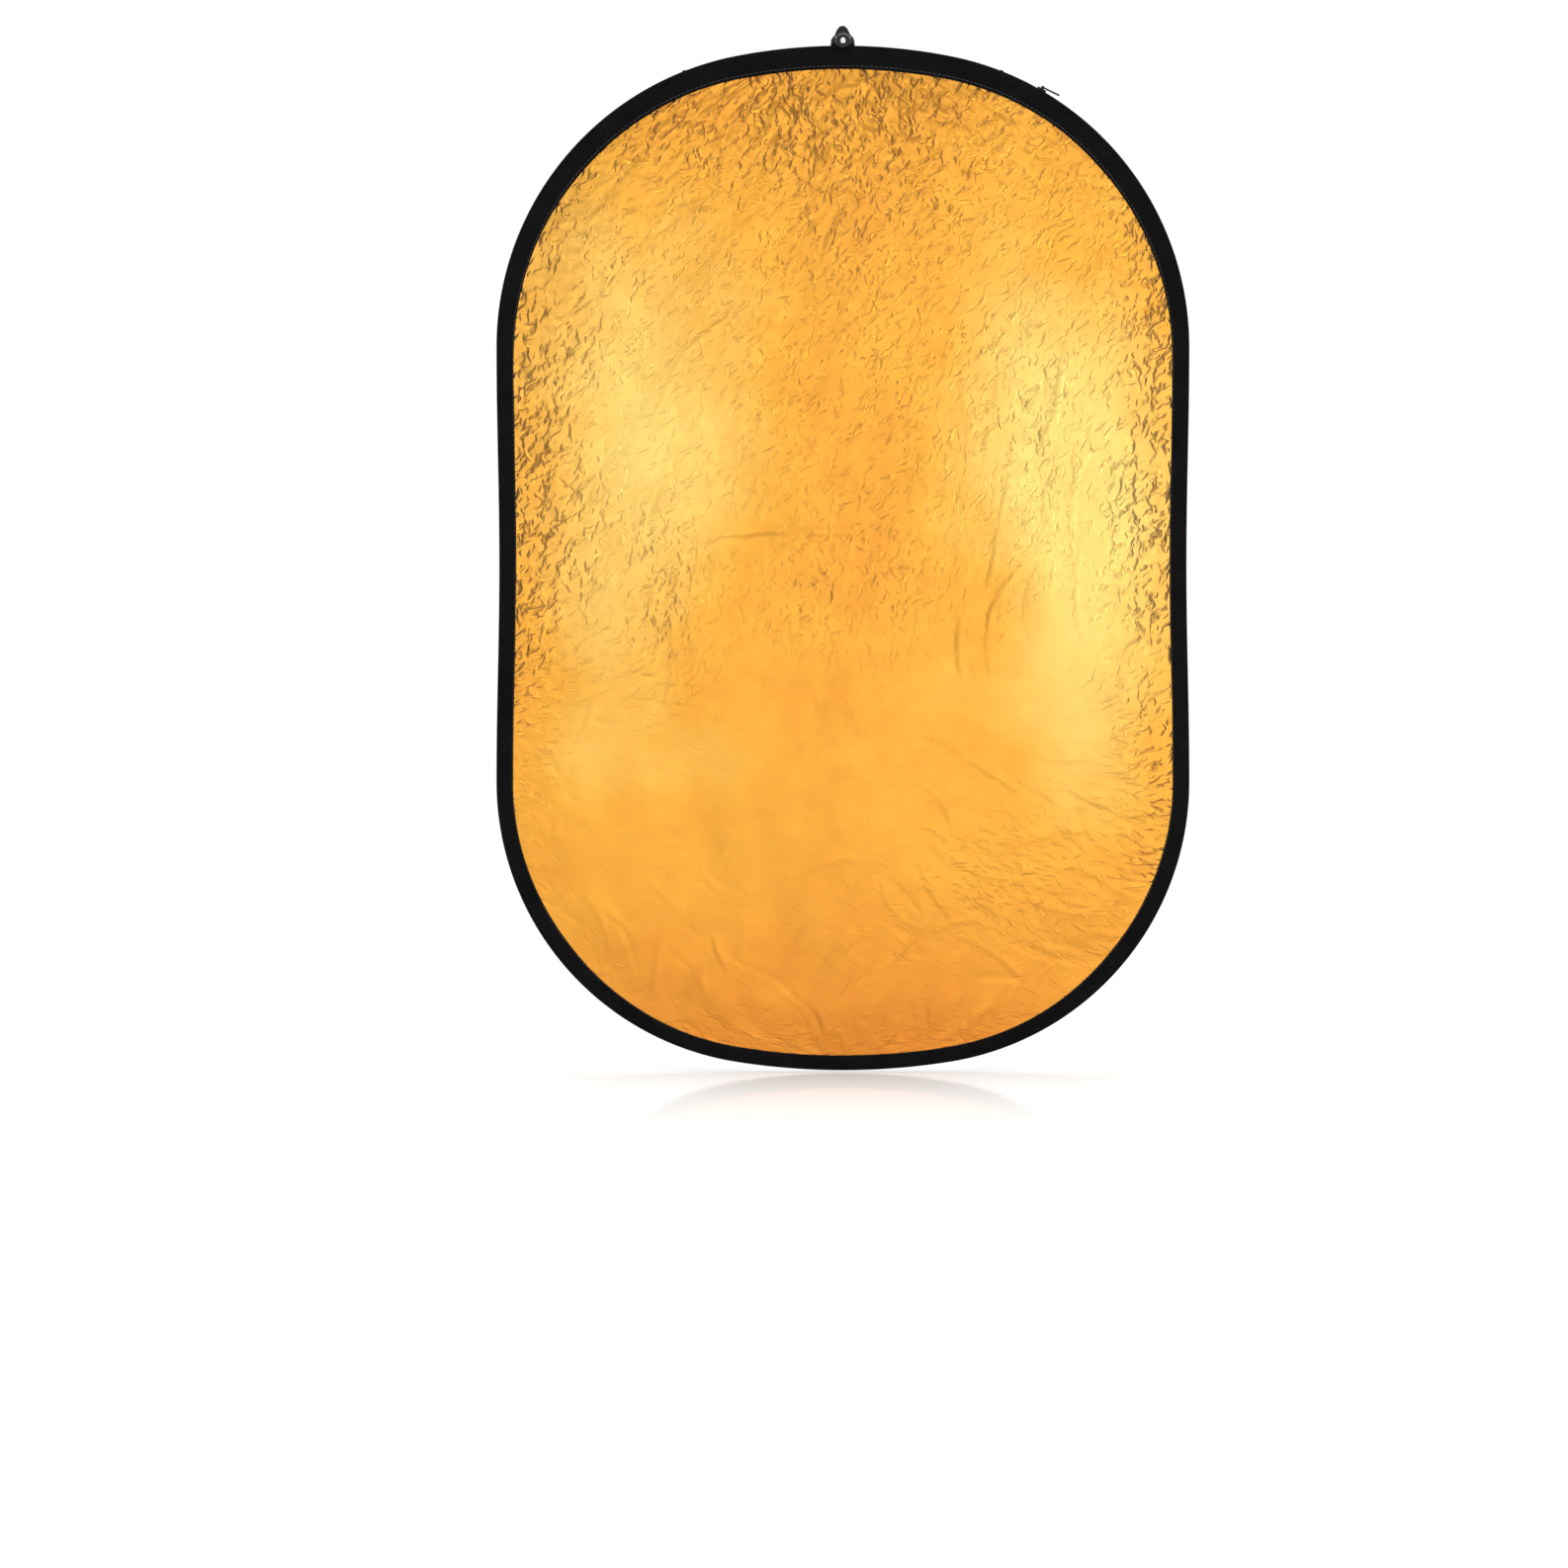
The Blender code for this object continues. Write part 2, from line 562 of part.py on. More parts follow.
def build_sleeve(reflector):
    """Sliding sleeve with finger ears, a chamfered nose and a groove across it for the rim."""
    sleeve_pivot = pivot("sleeve", (0, SLEEVE_NOSE, ARM_Z), reflector)
    outer, bore = SLEEVE_RADIUS / MM, SLEEVE_BORE / MM
    nose, rear = -SLEEVE_NOSE / MM, -SLEEVE_REAR / MM
    reach = EAR_REACH / MM - outer
    hole = NECK_RADIUS / MM + 0.4

    def ears(angle):
        return outer + reach * abs(sin(angle)) ** 9

    def fillet(angle):
        return outer + reach * 0.16 * abs(sin(angle)) ** 5

    profile = [
        (bore, rear), (ears, ears, rear), (ears, ears, rear + 2.2), (fillet, fillet, rear + 3.2),
        (outer, rear + 5.0), (outer - 0.5, nose - 0.8), (outer - 1.3, nose), (hole, nose), (hole, nose - 6.0),
        (bore, nose - 6.0),
    ]
    mesh = turned("sleeve", profile, along_arm(), 48, closed=True)
    sleeve = add_object("grip_sleeve", mesh, black_abs(), sleeve_pivot)
    chamfer = [(4.9, nose + 1), (4.9, nose), (7.6, nose - 4.8), (12.5, nose - 4.8), (12.5, nose + 1)]
    groove = [(-8.6, nose + 1), (-7.4, nose), (-5.9, nose - 3.2), (-4.2, nose - 4.0), (-2.0, nose - 3.4),
              (0.9, nose), (1.4, nose + 1)]
    for label, shape in (("chamfer", chamfer), ("groove", groove)):
        sides = [[along_arm() @ Vector((x, y, z)) * MM for y, z in shape] for x in (-12.0, 12.0)]
        cut(sleeve, grid_mesh(label, sides, closed=False))


def main():
    for item in list(bpy.data.objects):
        bpy.data.objects.remove(item)
    collar = build_collar()
    build_lock_screw(collar)
    arm = build_arm(collar)
    reflector = build_reflector(arm)
    build_front_cover(reflector)
    build_zip_slider(reflector)
    build_sleeve(reflector)


main()
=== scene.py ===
import json
from math import cos, pi, radians, sin, sqrt

import bmesh
import bpy
import numpy as np
from mathutils import Matrix, Vector


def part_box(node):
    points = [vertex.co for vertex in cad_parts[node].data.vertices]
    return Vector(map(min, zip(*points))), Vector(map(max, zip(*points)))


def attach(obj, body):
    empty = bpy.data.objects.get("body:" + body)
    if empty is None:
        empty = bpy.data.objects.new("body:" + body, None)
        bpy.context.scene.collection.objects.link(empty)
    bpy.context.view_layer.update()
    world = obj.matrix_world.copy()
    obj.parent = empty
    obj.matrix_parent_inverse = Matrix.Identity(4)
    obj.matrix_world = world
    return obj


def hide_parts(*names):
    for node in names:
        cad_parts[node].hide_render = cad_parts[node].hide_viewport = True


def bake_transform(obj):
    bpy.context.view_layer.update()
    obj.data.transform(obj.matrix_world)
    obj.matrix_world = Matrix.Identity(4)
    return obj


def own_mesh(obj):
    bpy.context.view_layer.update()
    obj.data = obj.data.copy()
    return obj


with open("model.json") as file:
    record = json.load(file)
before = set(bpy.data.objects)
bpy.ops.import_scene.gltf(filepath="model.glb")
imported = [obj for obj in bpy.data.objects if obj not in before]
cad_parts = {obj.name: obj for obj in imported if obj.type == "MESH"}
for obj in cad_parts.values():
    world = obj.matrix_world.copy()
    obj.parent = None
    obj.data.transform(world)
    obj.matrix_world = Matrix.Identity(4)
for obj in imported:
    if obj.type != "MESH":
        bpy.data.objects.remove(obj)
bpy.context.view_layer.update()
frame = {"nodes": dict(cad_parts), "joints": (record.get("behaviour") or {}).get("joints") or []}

# ---------------- sizes, metres

MM = 0.001
JOINTS = {joint["name"]: joint for joint in frame["joints"]}
FRONT_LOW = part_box("front_binding")[0]
REAR_LOW, REAR_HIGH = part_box("rear_binding")
MID_Y = (FRONT_LOW[1] + REAR_HIGH[1]) / 2
TOP_Z, BOTTOM_Z = REAR_HIGH[2], REAR_LOW[2]
HALF_WIDTH = REAR_HIGH[0]
HEIGHT = TOP_Z - BOTTOM_Z
MIDDLE_Z = (TOP_Z + BOTTOM_Z) / 2
ARM_AXIS = Vector(JOINTS["reflector_roll"]["pos_m"])
KNOB_JOINT = JOINTS["lock_knob_turn"]

TOP_RADIUS, TOP_JOIN = 0.490, radians(11)
BOTTOM_RADIUS, BOTTOM_JOIN = 0.600, radians(9)
WAIST = 0.0025
ARC_STEP = 5 * MM
BINDING_WIDTH = 20.5 * MM
# Depths in from the edge: where the tape starts to follow its width, and its stitches at full width
TAPE_FLAT, STITCH_DEPTH = 12.2 * MM, 17.85 * MM
CLOTH_THICKNESS = 0.25 * MM
FREE_REACH = 45 * MM
FACE_EDGE, LINING_EDGE = 9.6 * MM, 10.6 * MM
# The rim tape's width, by height above the outline's lowest point
TAPE_HEIGHTS = [0.0, 0.0962, 0.2362, 0.6162, 0.8062, 0.8960]
TAPE_WIDTHS = [0.0130, 0.0155, 0.0145, 0.0150, 0.0200, 0.0205]

# ---------------- node helpers


class Nodes:
    """Builds the node tree of a material, or of the world."""

    def __init__(self, name, kind=bpy.data.materials):
        self.owner = kind.new(name)
        self.owner.use_nodes = True
        self.tree = self.owner.node_tree

    def feed(self, node, values):
        """Gives a node's inputs their values, and links those that are another node's socket."""
        for key, value in values.items():
            if isinstance(value, bpy.types.NodeSocket):
                self.tree.links.new(value, node.inputs[key])
            else:
                node.inputs[key].default_value = value

    def add(self, kind, links=None, **values):
        node = self.tree.nodes.new(kind)
        for key, value in values.items():
            setattr(node, key, value)
        self.feed(node, links or {})
        return node

    def read(self, name):
        """A value that the mesh holds at each point."""
        return self.add("ShaderNodeAttribute", attribute_name=name).outputs["Fac"]

    def set(self, **values):
        """Sets or links the shader's own sockets."""
        shader = self.tree.nodes["Principled BSDF"]
        self.feed(shader, {key.replace("_", " "): value for key, value in values.items()})

    def finish(self, shader, output="Material Output"):
        self.tree.links.new(shader.outputs[0], self.tree.nodes[output].inputs["Surface"])

    def place(self, stretch=(1, 1, 1), angle=0.0, shift=0.0):
        """Object coordinates in metres, turned about Y by an angle and then stretched."""
        where = self.add("ShaderNodeTexCoord").outputs["Object"]
        links = {"Vector": where, "Scale": stretch, "Rotation": (0, angle, 0), "Location": (shift, 0, 0)}
        return self.add("ShaderNodeMapping", links, vector_type="TEXTURE").outputs["Vector"]

    def noise(self, where, scale, detail=4.0, rough=0.55, distort=0.0):
        links = {"Vector": where, "Scale": scale, "Detail": detail, "Roughness": rough, "Distortion": distort}
        return self.add("ShaderNodeTexNoise", links).outputs["Fac"]

    def math(self, operation, a, b=0.0, clamp=False):
        return self.add("ShaderNodeMath", {0: a, 1: b}, operation=operation, use_clamp=clamp).outputs[0]

    def split(self, vector):
        """A vector's or a colour's three parts."""
        return self.add("ShaderNodeSeparateXYZ", {"Vector": vector}).outputs

    def span(self, value, low, high, start=0.0, end=1.0):
        """Maps a value from one range to another, clamped."""
        links = {"Value": value, "From Min": low, "From Max": high, "To Min": start, "To Max": end}
        return self.add("ShaderNodeMapRange", links).outputs[0]

    def blend(self, factor, a, b):
        """A colour between two colours."""
        a, b = (c if isinstance(c, bpy.types.NodeSocket) else (*c, 1.0) for c in (a, b))
        return self.add("ShaderNodeMix", {0: factor, 6: a, 7: b}, data_type="RGBA").outputs[2]

    def strokes(self, where, per_metre, turn, spread, length, width):
        """Scattered short straight creases, one to a cell, turned about an angle: a low or high line."""
        links = {"Vector": where, "Scale": per_metre}
        cell = self.add("ShaderNodeTexVoronoi", links, voronoi_dimensions="2D")
        away = self.add("ShaderNodeVectorMath", {0: where, 1: cell.outputs["Position"]}, operation="SUBTRACT")
        x, z, _ = self.split(away.outputs[0])
        lean, size, sign = self.split(cell.outputs["Color"])
        angle = self.math("ADD", turn, self.span(lean, 0.0, 1.0, -spread, spread))
        reach = self.span(size, 0.0, 1.0, 0.45 * length, length)
        side = self.math("SIGN", self.math("SUBTRACT", sign, 0.45))
        right, up = self.math("COSINE", angle), self.math("SINE", angle)
        along = self.math("ADD", self.math("MULTIPLY", x, right), self.math("MULTIPLY", z, up))
        across = self.math("SUBTRACT", self.math("MULTIPLY", z, right), self.math("MULTIPLY", x, up))
        share = self.math("DIVIDE", along, reach)
        fade = self.math("SUBTRACT", 1.0, self.math("MULTIPLY", share, share), clamp=True)
        wide = self.math("MULTIPLY", fade, width)
        near = self.math("DIVIDE", self.math("ABSOLUTE", across), self.math("MAXIMUM", wide, 0.05 * width))
        line = self.math("MULTIPLY", self.math("SUBTRACT", 1.0, near, clamp=True), fade)
        return self.math("MULTIPLY", line, side)

    def bump(self, height, distance, strength=1.0, under=None):
        links = {"Height": height, "Distance": distance, "Strength": strength}
        if under is not None:
            links["Normal"] = under
        return self.add("ShaderNodeBump", links).outputs["Normal"]


# ---------------- materials


def weave_height(nodes, source, along, across):
    """Over-and-under threads: along and across are threads per metre."""
    x, y, z = nodes.split(nodes.add("ShaderNodeTexCoord").outputs[source])
    waves = []
    for axis, count in ((x, along), (y if source == "UV" else z, across)):
        waves.append(nodes.math("SINE", nodes.math("MULTIPLY", axis, count * 2 * pi)))
    return nodes.math("MULTIPLY", *waves)


# Finest creases: cells per metre, spread of angle, length and half-width in metres, height
FOIL_LINES = [
    (44.0, 0.40, 0.0150, 0.0018, 1.1),
    (62.0, 0.50, 0.0105, 0.0014, 1.0),
    (58.0, 0.90, 0.0095, 0.0014, 0.9),
    (96.0, 0.60, 0.0058, 0.0010, 0.7),
    (112.0, 0.50, 0.0050, 0.0009, 0.6),
    (34.0, 0.30, 0.0160, 0.0018, 1.0),
]


def foil(name, deep, middle, pale_and_highlight, seed):
    """Metallised foil on cloth: fine sharp creases, as dense as the mesh says, a random drift in its colour,
    and painted highlights and painted shade in its colour.
    """
    n = Nodes(name)
    drift = n.span(n.noise(n.place(), 9.0 + seed, 3.0, 0.5), 0.3, 0.7, -0.12, 0.12)
    # Painted light: the value the mesh holds paints paler highlight bands and deeper shade; the noise adds a
    # random drift.
    drift_and_painted_light = n.math("ADD", n.read("foil_tone"), drift)
    # The deep colour is the painted shade as well as the darker drift, the pale one the painted highlight as
    # well as the paler drift.
    low = n.blend(n.span(drift_and_painted_light, 0.0, 0.5), deep, middle)
    n.set(Base_Color=n.blend(n.span(drift_and_painted_light, 0.5, 1.0), low, pale_and_highlight))
    n.set(Metallic=0.94, Coat_Weight=0.4, Coat_Roughness=0.34)
    rough = n.noise(n.place(), 60.0, 3.0)
    n.set(Roughness=n.span(rough, 0.3, 0.7, 0.28, 0.36))
    crowd, turn = n.read("crease_density"), n.read("crease_turn")
    x, _, z = n.split(n.place())
    bend = n.math("MULTIPLY", n.math("SUBTRACT", n.noise(n.place(), 55.0, 2.0), 0.5), 0.022)
    total = None
    bent = n.math("ADD", x, bend)
    for index, (per_metre, spread, length, width, height) in enumerate(FOIL_LINES):
        lifted = n.math("ADD", z, 0.37 * index)
        where = n.add("ShaderNodeCombineXYZ", {"X": bent, "Y": lifted}).outputs[0]
        line = n.strokes(where, per_metre, turn, spread, length, width)
        patch = n.span(n.noise(n.place(shift=1.3 * index + seed), 15.0, 3.0), 0.43, 0.56, 0.0, height)
        line = n.math("MULTIPLY", line, patch)
        total = line if total is None else n.math("ADD", total, line)
    depth = n.math("MULTIPLY", crowd, n.math("ADD", n.math("MULTIPLY", crowd, 0.60), 0.78))
    creases = n.math("MULTIPLY", total, depth)
    first = n.bump(creases, 2.0 * MM)
    n.set(Normal=n.bump(weave_height(n, "Object", 900, 900), 0.02 * MM, 0.25, first))
    return n.owner


def cloth(name, light, deep, rough, threads=1400, sheen=0.2, thread_depth=0.03):
    """Plain woven cloth with soft wrinkles and slightly uneven dye."""
    n = Nodes(name)
    drift = n.noise(n.place(), 14.0, 4.0)
    n.set(Base_Color=n.blend(n.span(drift, 0.3, 0.7), deep, light))
    n.set(Roughness=n.span(n.noise(n.place(), 240.0, 2.0), 0.3, 0.7, rough - 0.06, rough + 0.06))
    n.set(Sheen_Weight=sheen, Sheen_Roughness=0.4)
    soft = n.bump(n.noise(n.place((1.0, 1.0, 2.0)), 26.0, 4.0, 0.5, 0.6), 0.8 * MM, 0.35)
    n.set(Normal=n.bump(weave_height(n, "Object", threads, threads), thread_depth * MM, 0.6, soft))
    return n.owner


def diffuser_cloth():
    """Thin translucent nylon: light passes through it."""
    made = cloth("diffuser_nylon", (0.94, 0.94, 0.93), (0.90, 0.90, 0.90), 0.62, 1600, 0.1)
    made.node_tree.nodes["Principled BSDF"].inputs["Transmission Weight"].default_value = 0.25
    return made


def tape(name):
    """Black felted tape: ribs across it, fuzz and a little dust grey on the crowns."""
    n = Nodes(name)
    grain = n.noise(n.place(), 1500.0, 3.0, 0.6)
    worn = n.noise(n.place(), 35.0, 3.0)
    shade = n.math("MULTIPLY", n.span(grain, 0.50, 0.68), n.span(worn, 0.35, 0.7, 0.35, 1.0))
    n.set(Base_Color=n.blend(shade, (0.0008, 0.0008, 0.0009), (0.020, 0.020, 0.0205)))
    n.set(Roughness=n.span(grain, 0.3, 0.7, 0.82, 0.97), Sheen_Weight=0.012, Sheen_Roughness=0.5)
    n.set(Specular_IOR_Level=0.07)
    ribs = n.bump(weave_height(n, "UV", 1100, 700), 0.05 * MM, 0.6)
    n.set(Normal=n.bump(grain, 0.18 * MM, 0.7, ribs))
    return n.owner


def thread(name, colour):
    """Twisted sewing thread."""
    n = Nodes(name)
    twist = n.noise(n.place(), 2600.0, 2.0)
    n.set(Base_Color=n.blend(twist, tuple(0.5 * c for c in colour), colour))
    n.set(Roughness=n.span(twist, 0.3, 0.7, 0.5, 0.7), Normal=n.bump(twist, 0.08 * MM, 0.8))
    return n.owner


def moulded(name, colour, rough, grain_depth=0.03, gloss=0.28):
    """Moulded plastic: fine spark-eroded grain, rubbed smoother in places."""
    n = Nodes(name)
    rubbed = n.noise(n.place(), 90.0, 3.0)
    grain = n.noise(n.place(), 2200.0, 2.0)
    n.set(Base_Color=n.blend(rubbed, tuple(0.75 * c for c in colour), tuple(1.3 * c for c in colour)))
    n.set(Roughness=n.span(rubbed, 0.3, 0.7, rough - 0.06, rough + 0.08), Specular_IOR_Level=gloss)
    n.set(Normal=n.bump(grain, grain_depth * MM, 0.5))
    return n.owner


def metal(name, colour, rough, brushed=0.3):
    """Plated or plain metal with fine turning marks and faint smudges."""
    n = Nodes(name)
    smudge = n.noise(n.place(), 160.0, 4.0)
    lines = n.noise(n.place((1.0, 1.0, 0.055)), 300.0, 3.0)
    n.set(Base_Color=n.blend(smudge, tuple(0.9 * c for c in colour), colour), Metallic=1.0)
    n.set(Roughness=n.span(smudge, 0.35, 0.7, rough, rough * 1.6 + 0.03))
    n.set(Normal=n.bump(lines, 0.01 * MM, brushed))
    return n.owner


# Each foil's first colour serves the painted shade as well as darker drift, its last the painted highlight as
# well as paler drift.
GOLD = foil("gold_foil_cloth", (0.56, 0.185, 0.010), (0.635, 0.285, 0.022), (0.66, 0.455, 0.110), 0.0)
SILVER = foil("silver_foil_cloth", (0.50, 0.50, 0.51), (0.56, 0.56, 0.57), (0.62, 0.62, 0.63), 2.0)
WHITE = cloth("white_coated_cloth", (0.715, 0.715, 0.715), (0.695, 0.695, 0.70), 0.72)
BLACK = cloth("black_coated_cloth", (0.012, 0.012, 0.013), (0.006, 0.006, 0.007), 0.8, sheen=0.1)
DIFFUSER = diffuser_cloth()
TAPE = tape("black_binding_tape")
BLACK_THREAD = thread("black_thread", (0.035, 0.035, 0.037))
COIL = moulded("nylon_coil", (0.02, 0.02, 0.021), 0.42)
ZIP_METAL = metal("black_zinc", (0.03, 0.03, 0.032), 0.40)
ABS = moulded("satin_abs", (0.007, 0.007, 0.0075), 0.38)
SHAFT_ABS = moulded("shaft_abs", (0.004, 0.004, 0.0045), 0.30)
KNOB = moulded("polished_knob", (0.003, 0.003, 0.003), 0.13, 0.004, 0.45)
CHROME = metal("chrome_plate", (0.70, 0.70, 0.71), 0.06, 0.06)
STEEL = metal("zinc_steel", (0.62, 0.62, 0.64), 0.24)
SPRING = metal("spring_steel", (0.34, 0.35, 0.38), 0.28)

# ---------------- mesh helpers


def put(name, data):
    """Adds an object to the scene."""
    made = bpy.data.objects.new(name, data)
    bpy.context.scene.collection.objects.link(made)
    return made


def face_outward(mesh):
    work = bmesh.new()
    work.from_mesh(mesh)
    bmesh.ops.recalc_face_normals(work, faces=work.faces)
    work.to_mesh(mesh)
    work.free()


def make_piece(name, mesh, finish, slot, body, *nodes, smooth=radians(40)):
    """A finished piece: shaded, given its material, riding on its body in place of nodes."""
    face_outward(mesh)
    mesh.shade_smooth()
    mesh.set_sharp_from_angle(angle=smooth)
    mesh.materials.clear()
    mesh.materials.append(finish)
    piece = put(name, mesh)
    if body:
        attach(piece, body)
    if nodes:
        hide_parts(*nodes)
    return piece


def skin(name, rings, closed, caps=True):
    """Joins equal rings of points (an array: rings, points, xyz) into one mesh with UVs in metres."""
    rings = np.asarray(rings, float)
    count, size = rings.shape[:2]
    mesh = bpy.data.meshes.new(name)
    faces = []
    corners = []
    around = np.concatenate([[0], np.cumsum(np.linalg.norm(np.diff(rings[0], axis=0), axis=1))])
    around = np.append(around, around[-1] + np.linalg.norm(rings[0, 0] - rings[0, -1]))
    middles = rings.mean(axis=1)
    steps = np.linalg.norm(np.diff(np.vstack([middles, middles[:1]]), axis=0), axis=1)
    along = np.concatenate([[0], np.cumsum(steps)])
    for i in range(count if closed else count - 1):
        a, b = i * size, (i + 1) % count * size
        for j in range(size):
            k = (j + 1) % size
            faces.append((a + j, a + k, b + k, b + j))
            corners += [(along[i], around[j]), (along[i], around[j + 1])]
            corners += [(along[i + 1], around[j + 1]), (along[i + 1], around[j])]
    if caps and not closed:
        for start in (0, (count - 1) * size):
            faces.append(tuple(range(start, start + size)))
            corners += [(0.0, 0.0)] * size
    mesh.from_pydata(rings.reshape(-1, 3).tolist(), [], faces)
    layer = mesh.uv_layers.new(name="metres")
    layer.data.foreach_set("uv", np.array(corners, float).ravel())
    return mesh


def many_solids(name, solids):
    """One mesh from separate solids, each given as (points, faces)."""
    points, faces, start = [], [], 0
    for vertices, polygons in solids:
        points.extend(tuple(p) for p in vertices)
        faces.extend(tuple(i + start for i in polygon) for polygon in polygons)
        start += len(vertices)
    mesh = bpy.data.meshes.new(name)
    mesh.from_pydata(points, [], faces)
    return mesh


# ---------------- the rim's outline


def arc_end(radius, join, end_z, up):
    """Fine stations (x, z, inward x, inward z) from one end's middle round to the straight side."""
    corner = (HALF_WIDTH - radius * sin(join)) / (1 - sin(join))
    centre_x = (radius - corner) * sin(join)
    centre_z = end_z - up * (radius - (radius - corner) * cos(join))
    rows = []
    first = int(radius * join / ARC_STEP)
    for angle in np.linspace(0, join, first, endpoint=False):
        x, z = radius * sin(angle), end_z - up * radius * (1 - cos(angle))
        rows.append((x, z, -sin(angle), -up * cos(angle)))
    for angle in np.linspace(join, pi / 2, int(corner * (pi / 2 - join) / ARC_STEP)):
        x, z = centre_x + corner * sin(angle), centre_z + up * corner * cos(angle)
        rows.append((x, z, -sin(angle), -up * cos(angle)))
    return np.array(rows)


def rim_stations():
    """Stations clockwise from the top middle."""
    top = arc_end(TOP_RADIUS, TOP_JOIN, TOP_Z, 1)
    bottom = arc_end(BOTTOM_RADIUS, BOTTOM_JOIN, BOTTOM_Z, -1)
    high, low = top[-1][1], bottom[-1][1]
    part = np.linspace(0, 1, int((high - low) / ARC_STEP))[1:-1]
    x = HALF_WIDTH - WAIST * (1 - np.cos(2 * pi * part)) / 2
    slope = WAIST * pi * np.sin(2 * pi * part) / (high - low)
    length = np.sqrt(1 + slope**2)
    side = np.stack([x, high + (low - high) * part, -1 / length, -slope / length], axis=1)
    right = np.vstack([top, side, bottom[::-1]])
    left = right[1:-1][::-1] * np.array([-1, 1, -1, 1])
    return np.vstack([right, left])


RIM = rim_stations()


def on_rim(stations, depth, offset):
    """Points at a depth inward and an offset from the middle plane, for every station."""
    depth = np.broadcast_to(depth, len(stations))
    x = stations[:, 0] + stations[:, 2] * depth
    z = stations[:, 1] + stations[:, 3] * depth
    return np.stack([x, np.broadcast_to(MID_Y + offset, len(stations)), z], axis=1)


def along_rim(name, rings, closed=True):
    """A skin from one row of points round the rim for each point of a section."""
    return skin(name, np.transpose(np.array(rings), (1, 0, 2)), closed)


def rim_length():
    steps = np.diff(np.vstack([RIM, RIM[:1]])[:, :2], axis=0)
    return np.concatenate([[0], np.cumsum(np.linalg.norm(steps, axis=1))])


RIM_LENGTH = rim_length()


def ripple(along, seed, waves):
    """A smooth wobble round the rim that closes on itself: sums of sines of random phase."""
    random = np.random.default_rng(seed)
    turn = 2 * pi * along / RIM_LENGTH[-1]
    total = np.zeros_like(turn)
    for count in waves:
        total += np.sin(turn * count + random.uniform(0, 2 * pi)) * random.uniform(0.5, 1.0)
    return total / len(waves)


def tape_width(stations):
    """The tape's width at stations: broad over the top, narrower down the sides and below."""
    return np.interp(stations[:, 1] - BOTTOM_Z, TAPE_HEIGHTS, TAPE_WIDTHS)


def rounded_section(side):
    """The tape's section as (depth, offset) in millimetres, with its folded hem; side is -1 or 1."""
    outer_fold = [(0.0, 2.9), (0.15, 3.4), (0.55, 3.85), (1.2, 4.05)]
    face = [(3.0, 4.1), (5.5, 4.1), (8.0, 4.06), (10.0, 3.72), (12.2, 3.28), (14.5, 3.2), (16.5, 3.2)]
    hem = [(17.6, 3.0), (18.1, 2.98), (18.6, 3.24), (19.7, 3.3), (20.4, 3.12), (20.5, 2.8), (20.2, 2.62)]
    inner = [(16.0, 2.62), (12.0, 2.62), (10.0, 3.08), (8.0, 3.5), (4.0, 3.5)]
    inner += [(1.6, 3.45), (0.8, 3.1), (0.6, 2.6)]
    lip = [(0.6, 1.7), (0.3, 1.6), (0.0, 1.75)]
    return [(depth * MM, side * offset * MM) for depth, offset in outer_fold + face + hem + inner + lip]


def tape_ring(name, side):
    """The rim tape: puckered between its stitches, with a rounded edge."""
    along = RIM_LENGTH[:-1]
    pucker = 0.16 * MM * ripple(along, 11 + side, (61, 83, 97, 131, 149))
    sway = 0.35 * MM * ripple(along, 17 + side, (5, 9, 14, 23))
    slack = (tape_width(RIM) - TAPE_FLAT) / (BINDING_WIDTH - TAPE_FLAT)
    rings = []
    for depth, offset in rounded_section(side):
        share = min(1.0, max(0.0, (depth - 2 * MM) / (10 * MM)))
        under = share * (1 if abs(offset) > 2.7 * MM else 0)
        depths = depth
        if depth > 12.5 * MM:
            depths = TAPE_FLAT + (depth - TAPE_FLAT) * slack + sway * (depth > 15 * MM)
        points = on_rim(RIM, depths, offset)
        points[:, 1] += side * np.maximum(-0.1 * MM, pucker) * under
        rings.append(points)
    return along_rim(name, rings)


def capsule(centre, along, up, length, width, height):
    """A stitch: a small rounded bar, as points and faces."""
    side = np.cross(along, up)
    rows = [(-0.5, 0.35), (-0.28, 1.0), (0.28, 1.0), (0.5, 0.35)]
    points = []
    for place, size in rows:
        for k in range(6):
            angle = pi * k / 3
            lift = up * (height * size * sin(angle)) + side * (width * size * cos(angle))
            points.append(centre + along * (length * place) + lift)
    faces = [tuple(range(6))[::-1], tuple(range(18, 24))]
    for i in range(3):
        for k in range(6):
            a, b = i * 6, (i + 1) * 6
            faces.append((a + k, a + (k + 1) % 6, b + (k + 1) % 6, b + k))
    return points, faces


def at_length(distances):
    """Stations at distances round the rim."""
    wrapped = np.vstack([RIM, RIM[:1]])
    columns = [np.interp(distances % RIM_LENGTH[-1], RIM_LENGTH, wrapped[:, c]) for c in range(4)]
    return np.stack(columns, axis=1)


def stitches(name, depth, offset, outward, pitch=4.4 * MM, length=3.3 * MM):
    """A row of stitches round the rim, at a depth or along the tape's hem."""
    count = int(RIM_LENGTH[-1] / pitch)
    stations = at_length(np.arange(count) * RIM_LENGTH[-1] / count)
    if depth is None:
        share = (STITCH_DEPTH - TAPE_FLAT) / (BINDING_WIDTH - TAPE_FLAT)
        depth = TAPE_FLAT + share * (tape_width(stations) - TAPE_FLAT)
    places = on_rim(stations, depth, offset)
    up = np.array([0.0, outward, 0.0])
    ways = [np.array([-row[3], 0.0, row[2]]) for row in stations]
    size = (length, 0.28 * MM, 0.2 * MM)
    return many_solids(name, [capsule(place, along, up, *size) for place, along in zip(places, ways)])


# ---------------- sheets

ROWS, COLUMNS = 357, 241
BACK_STEP = 4


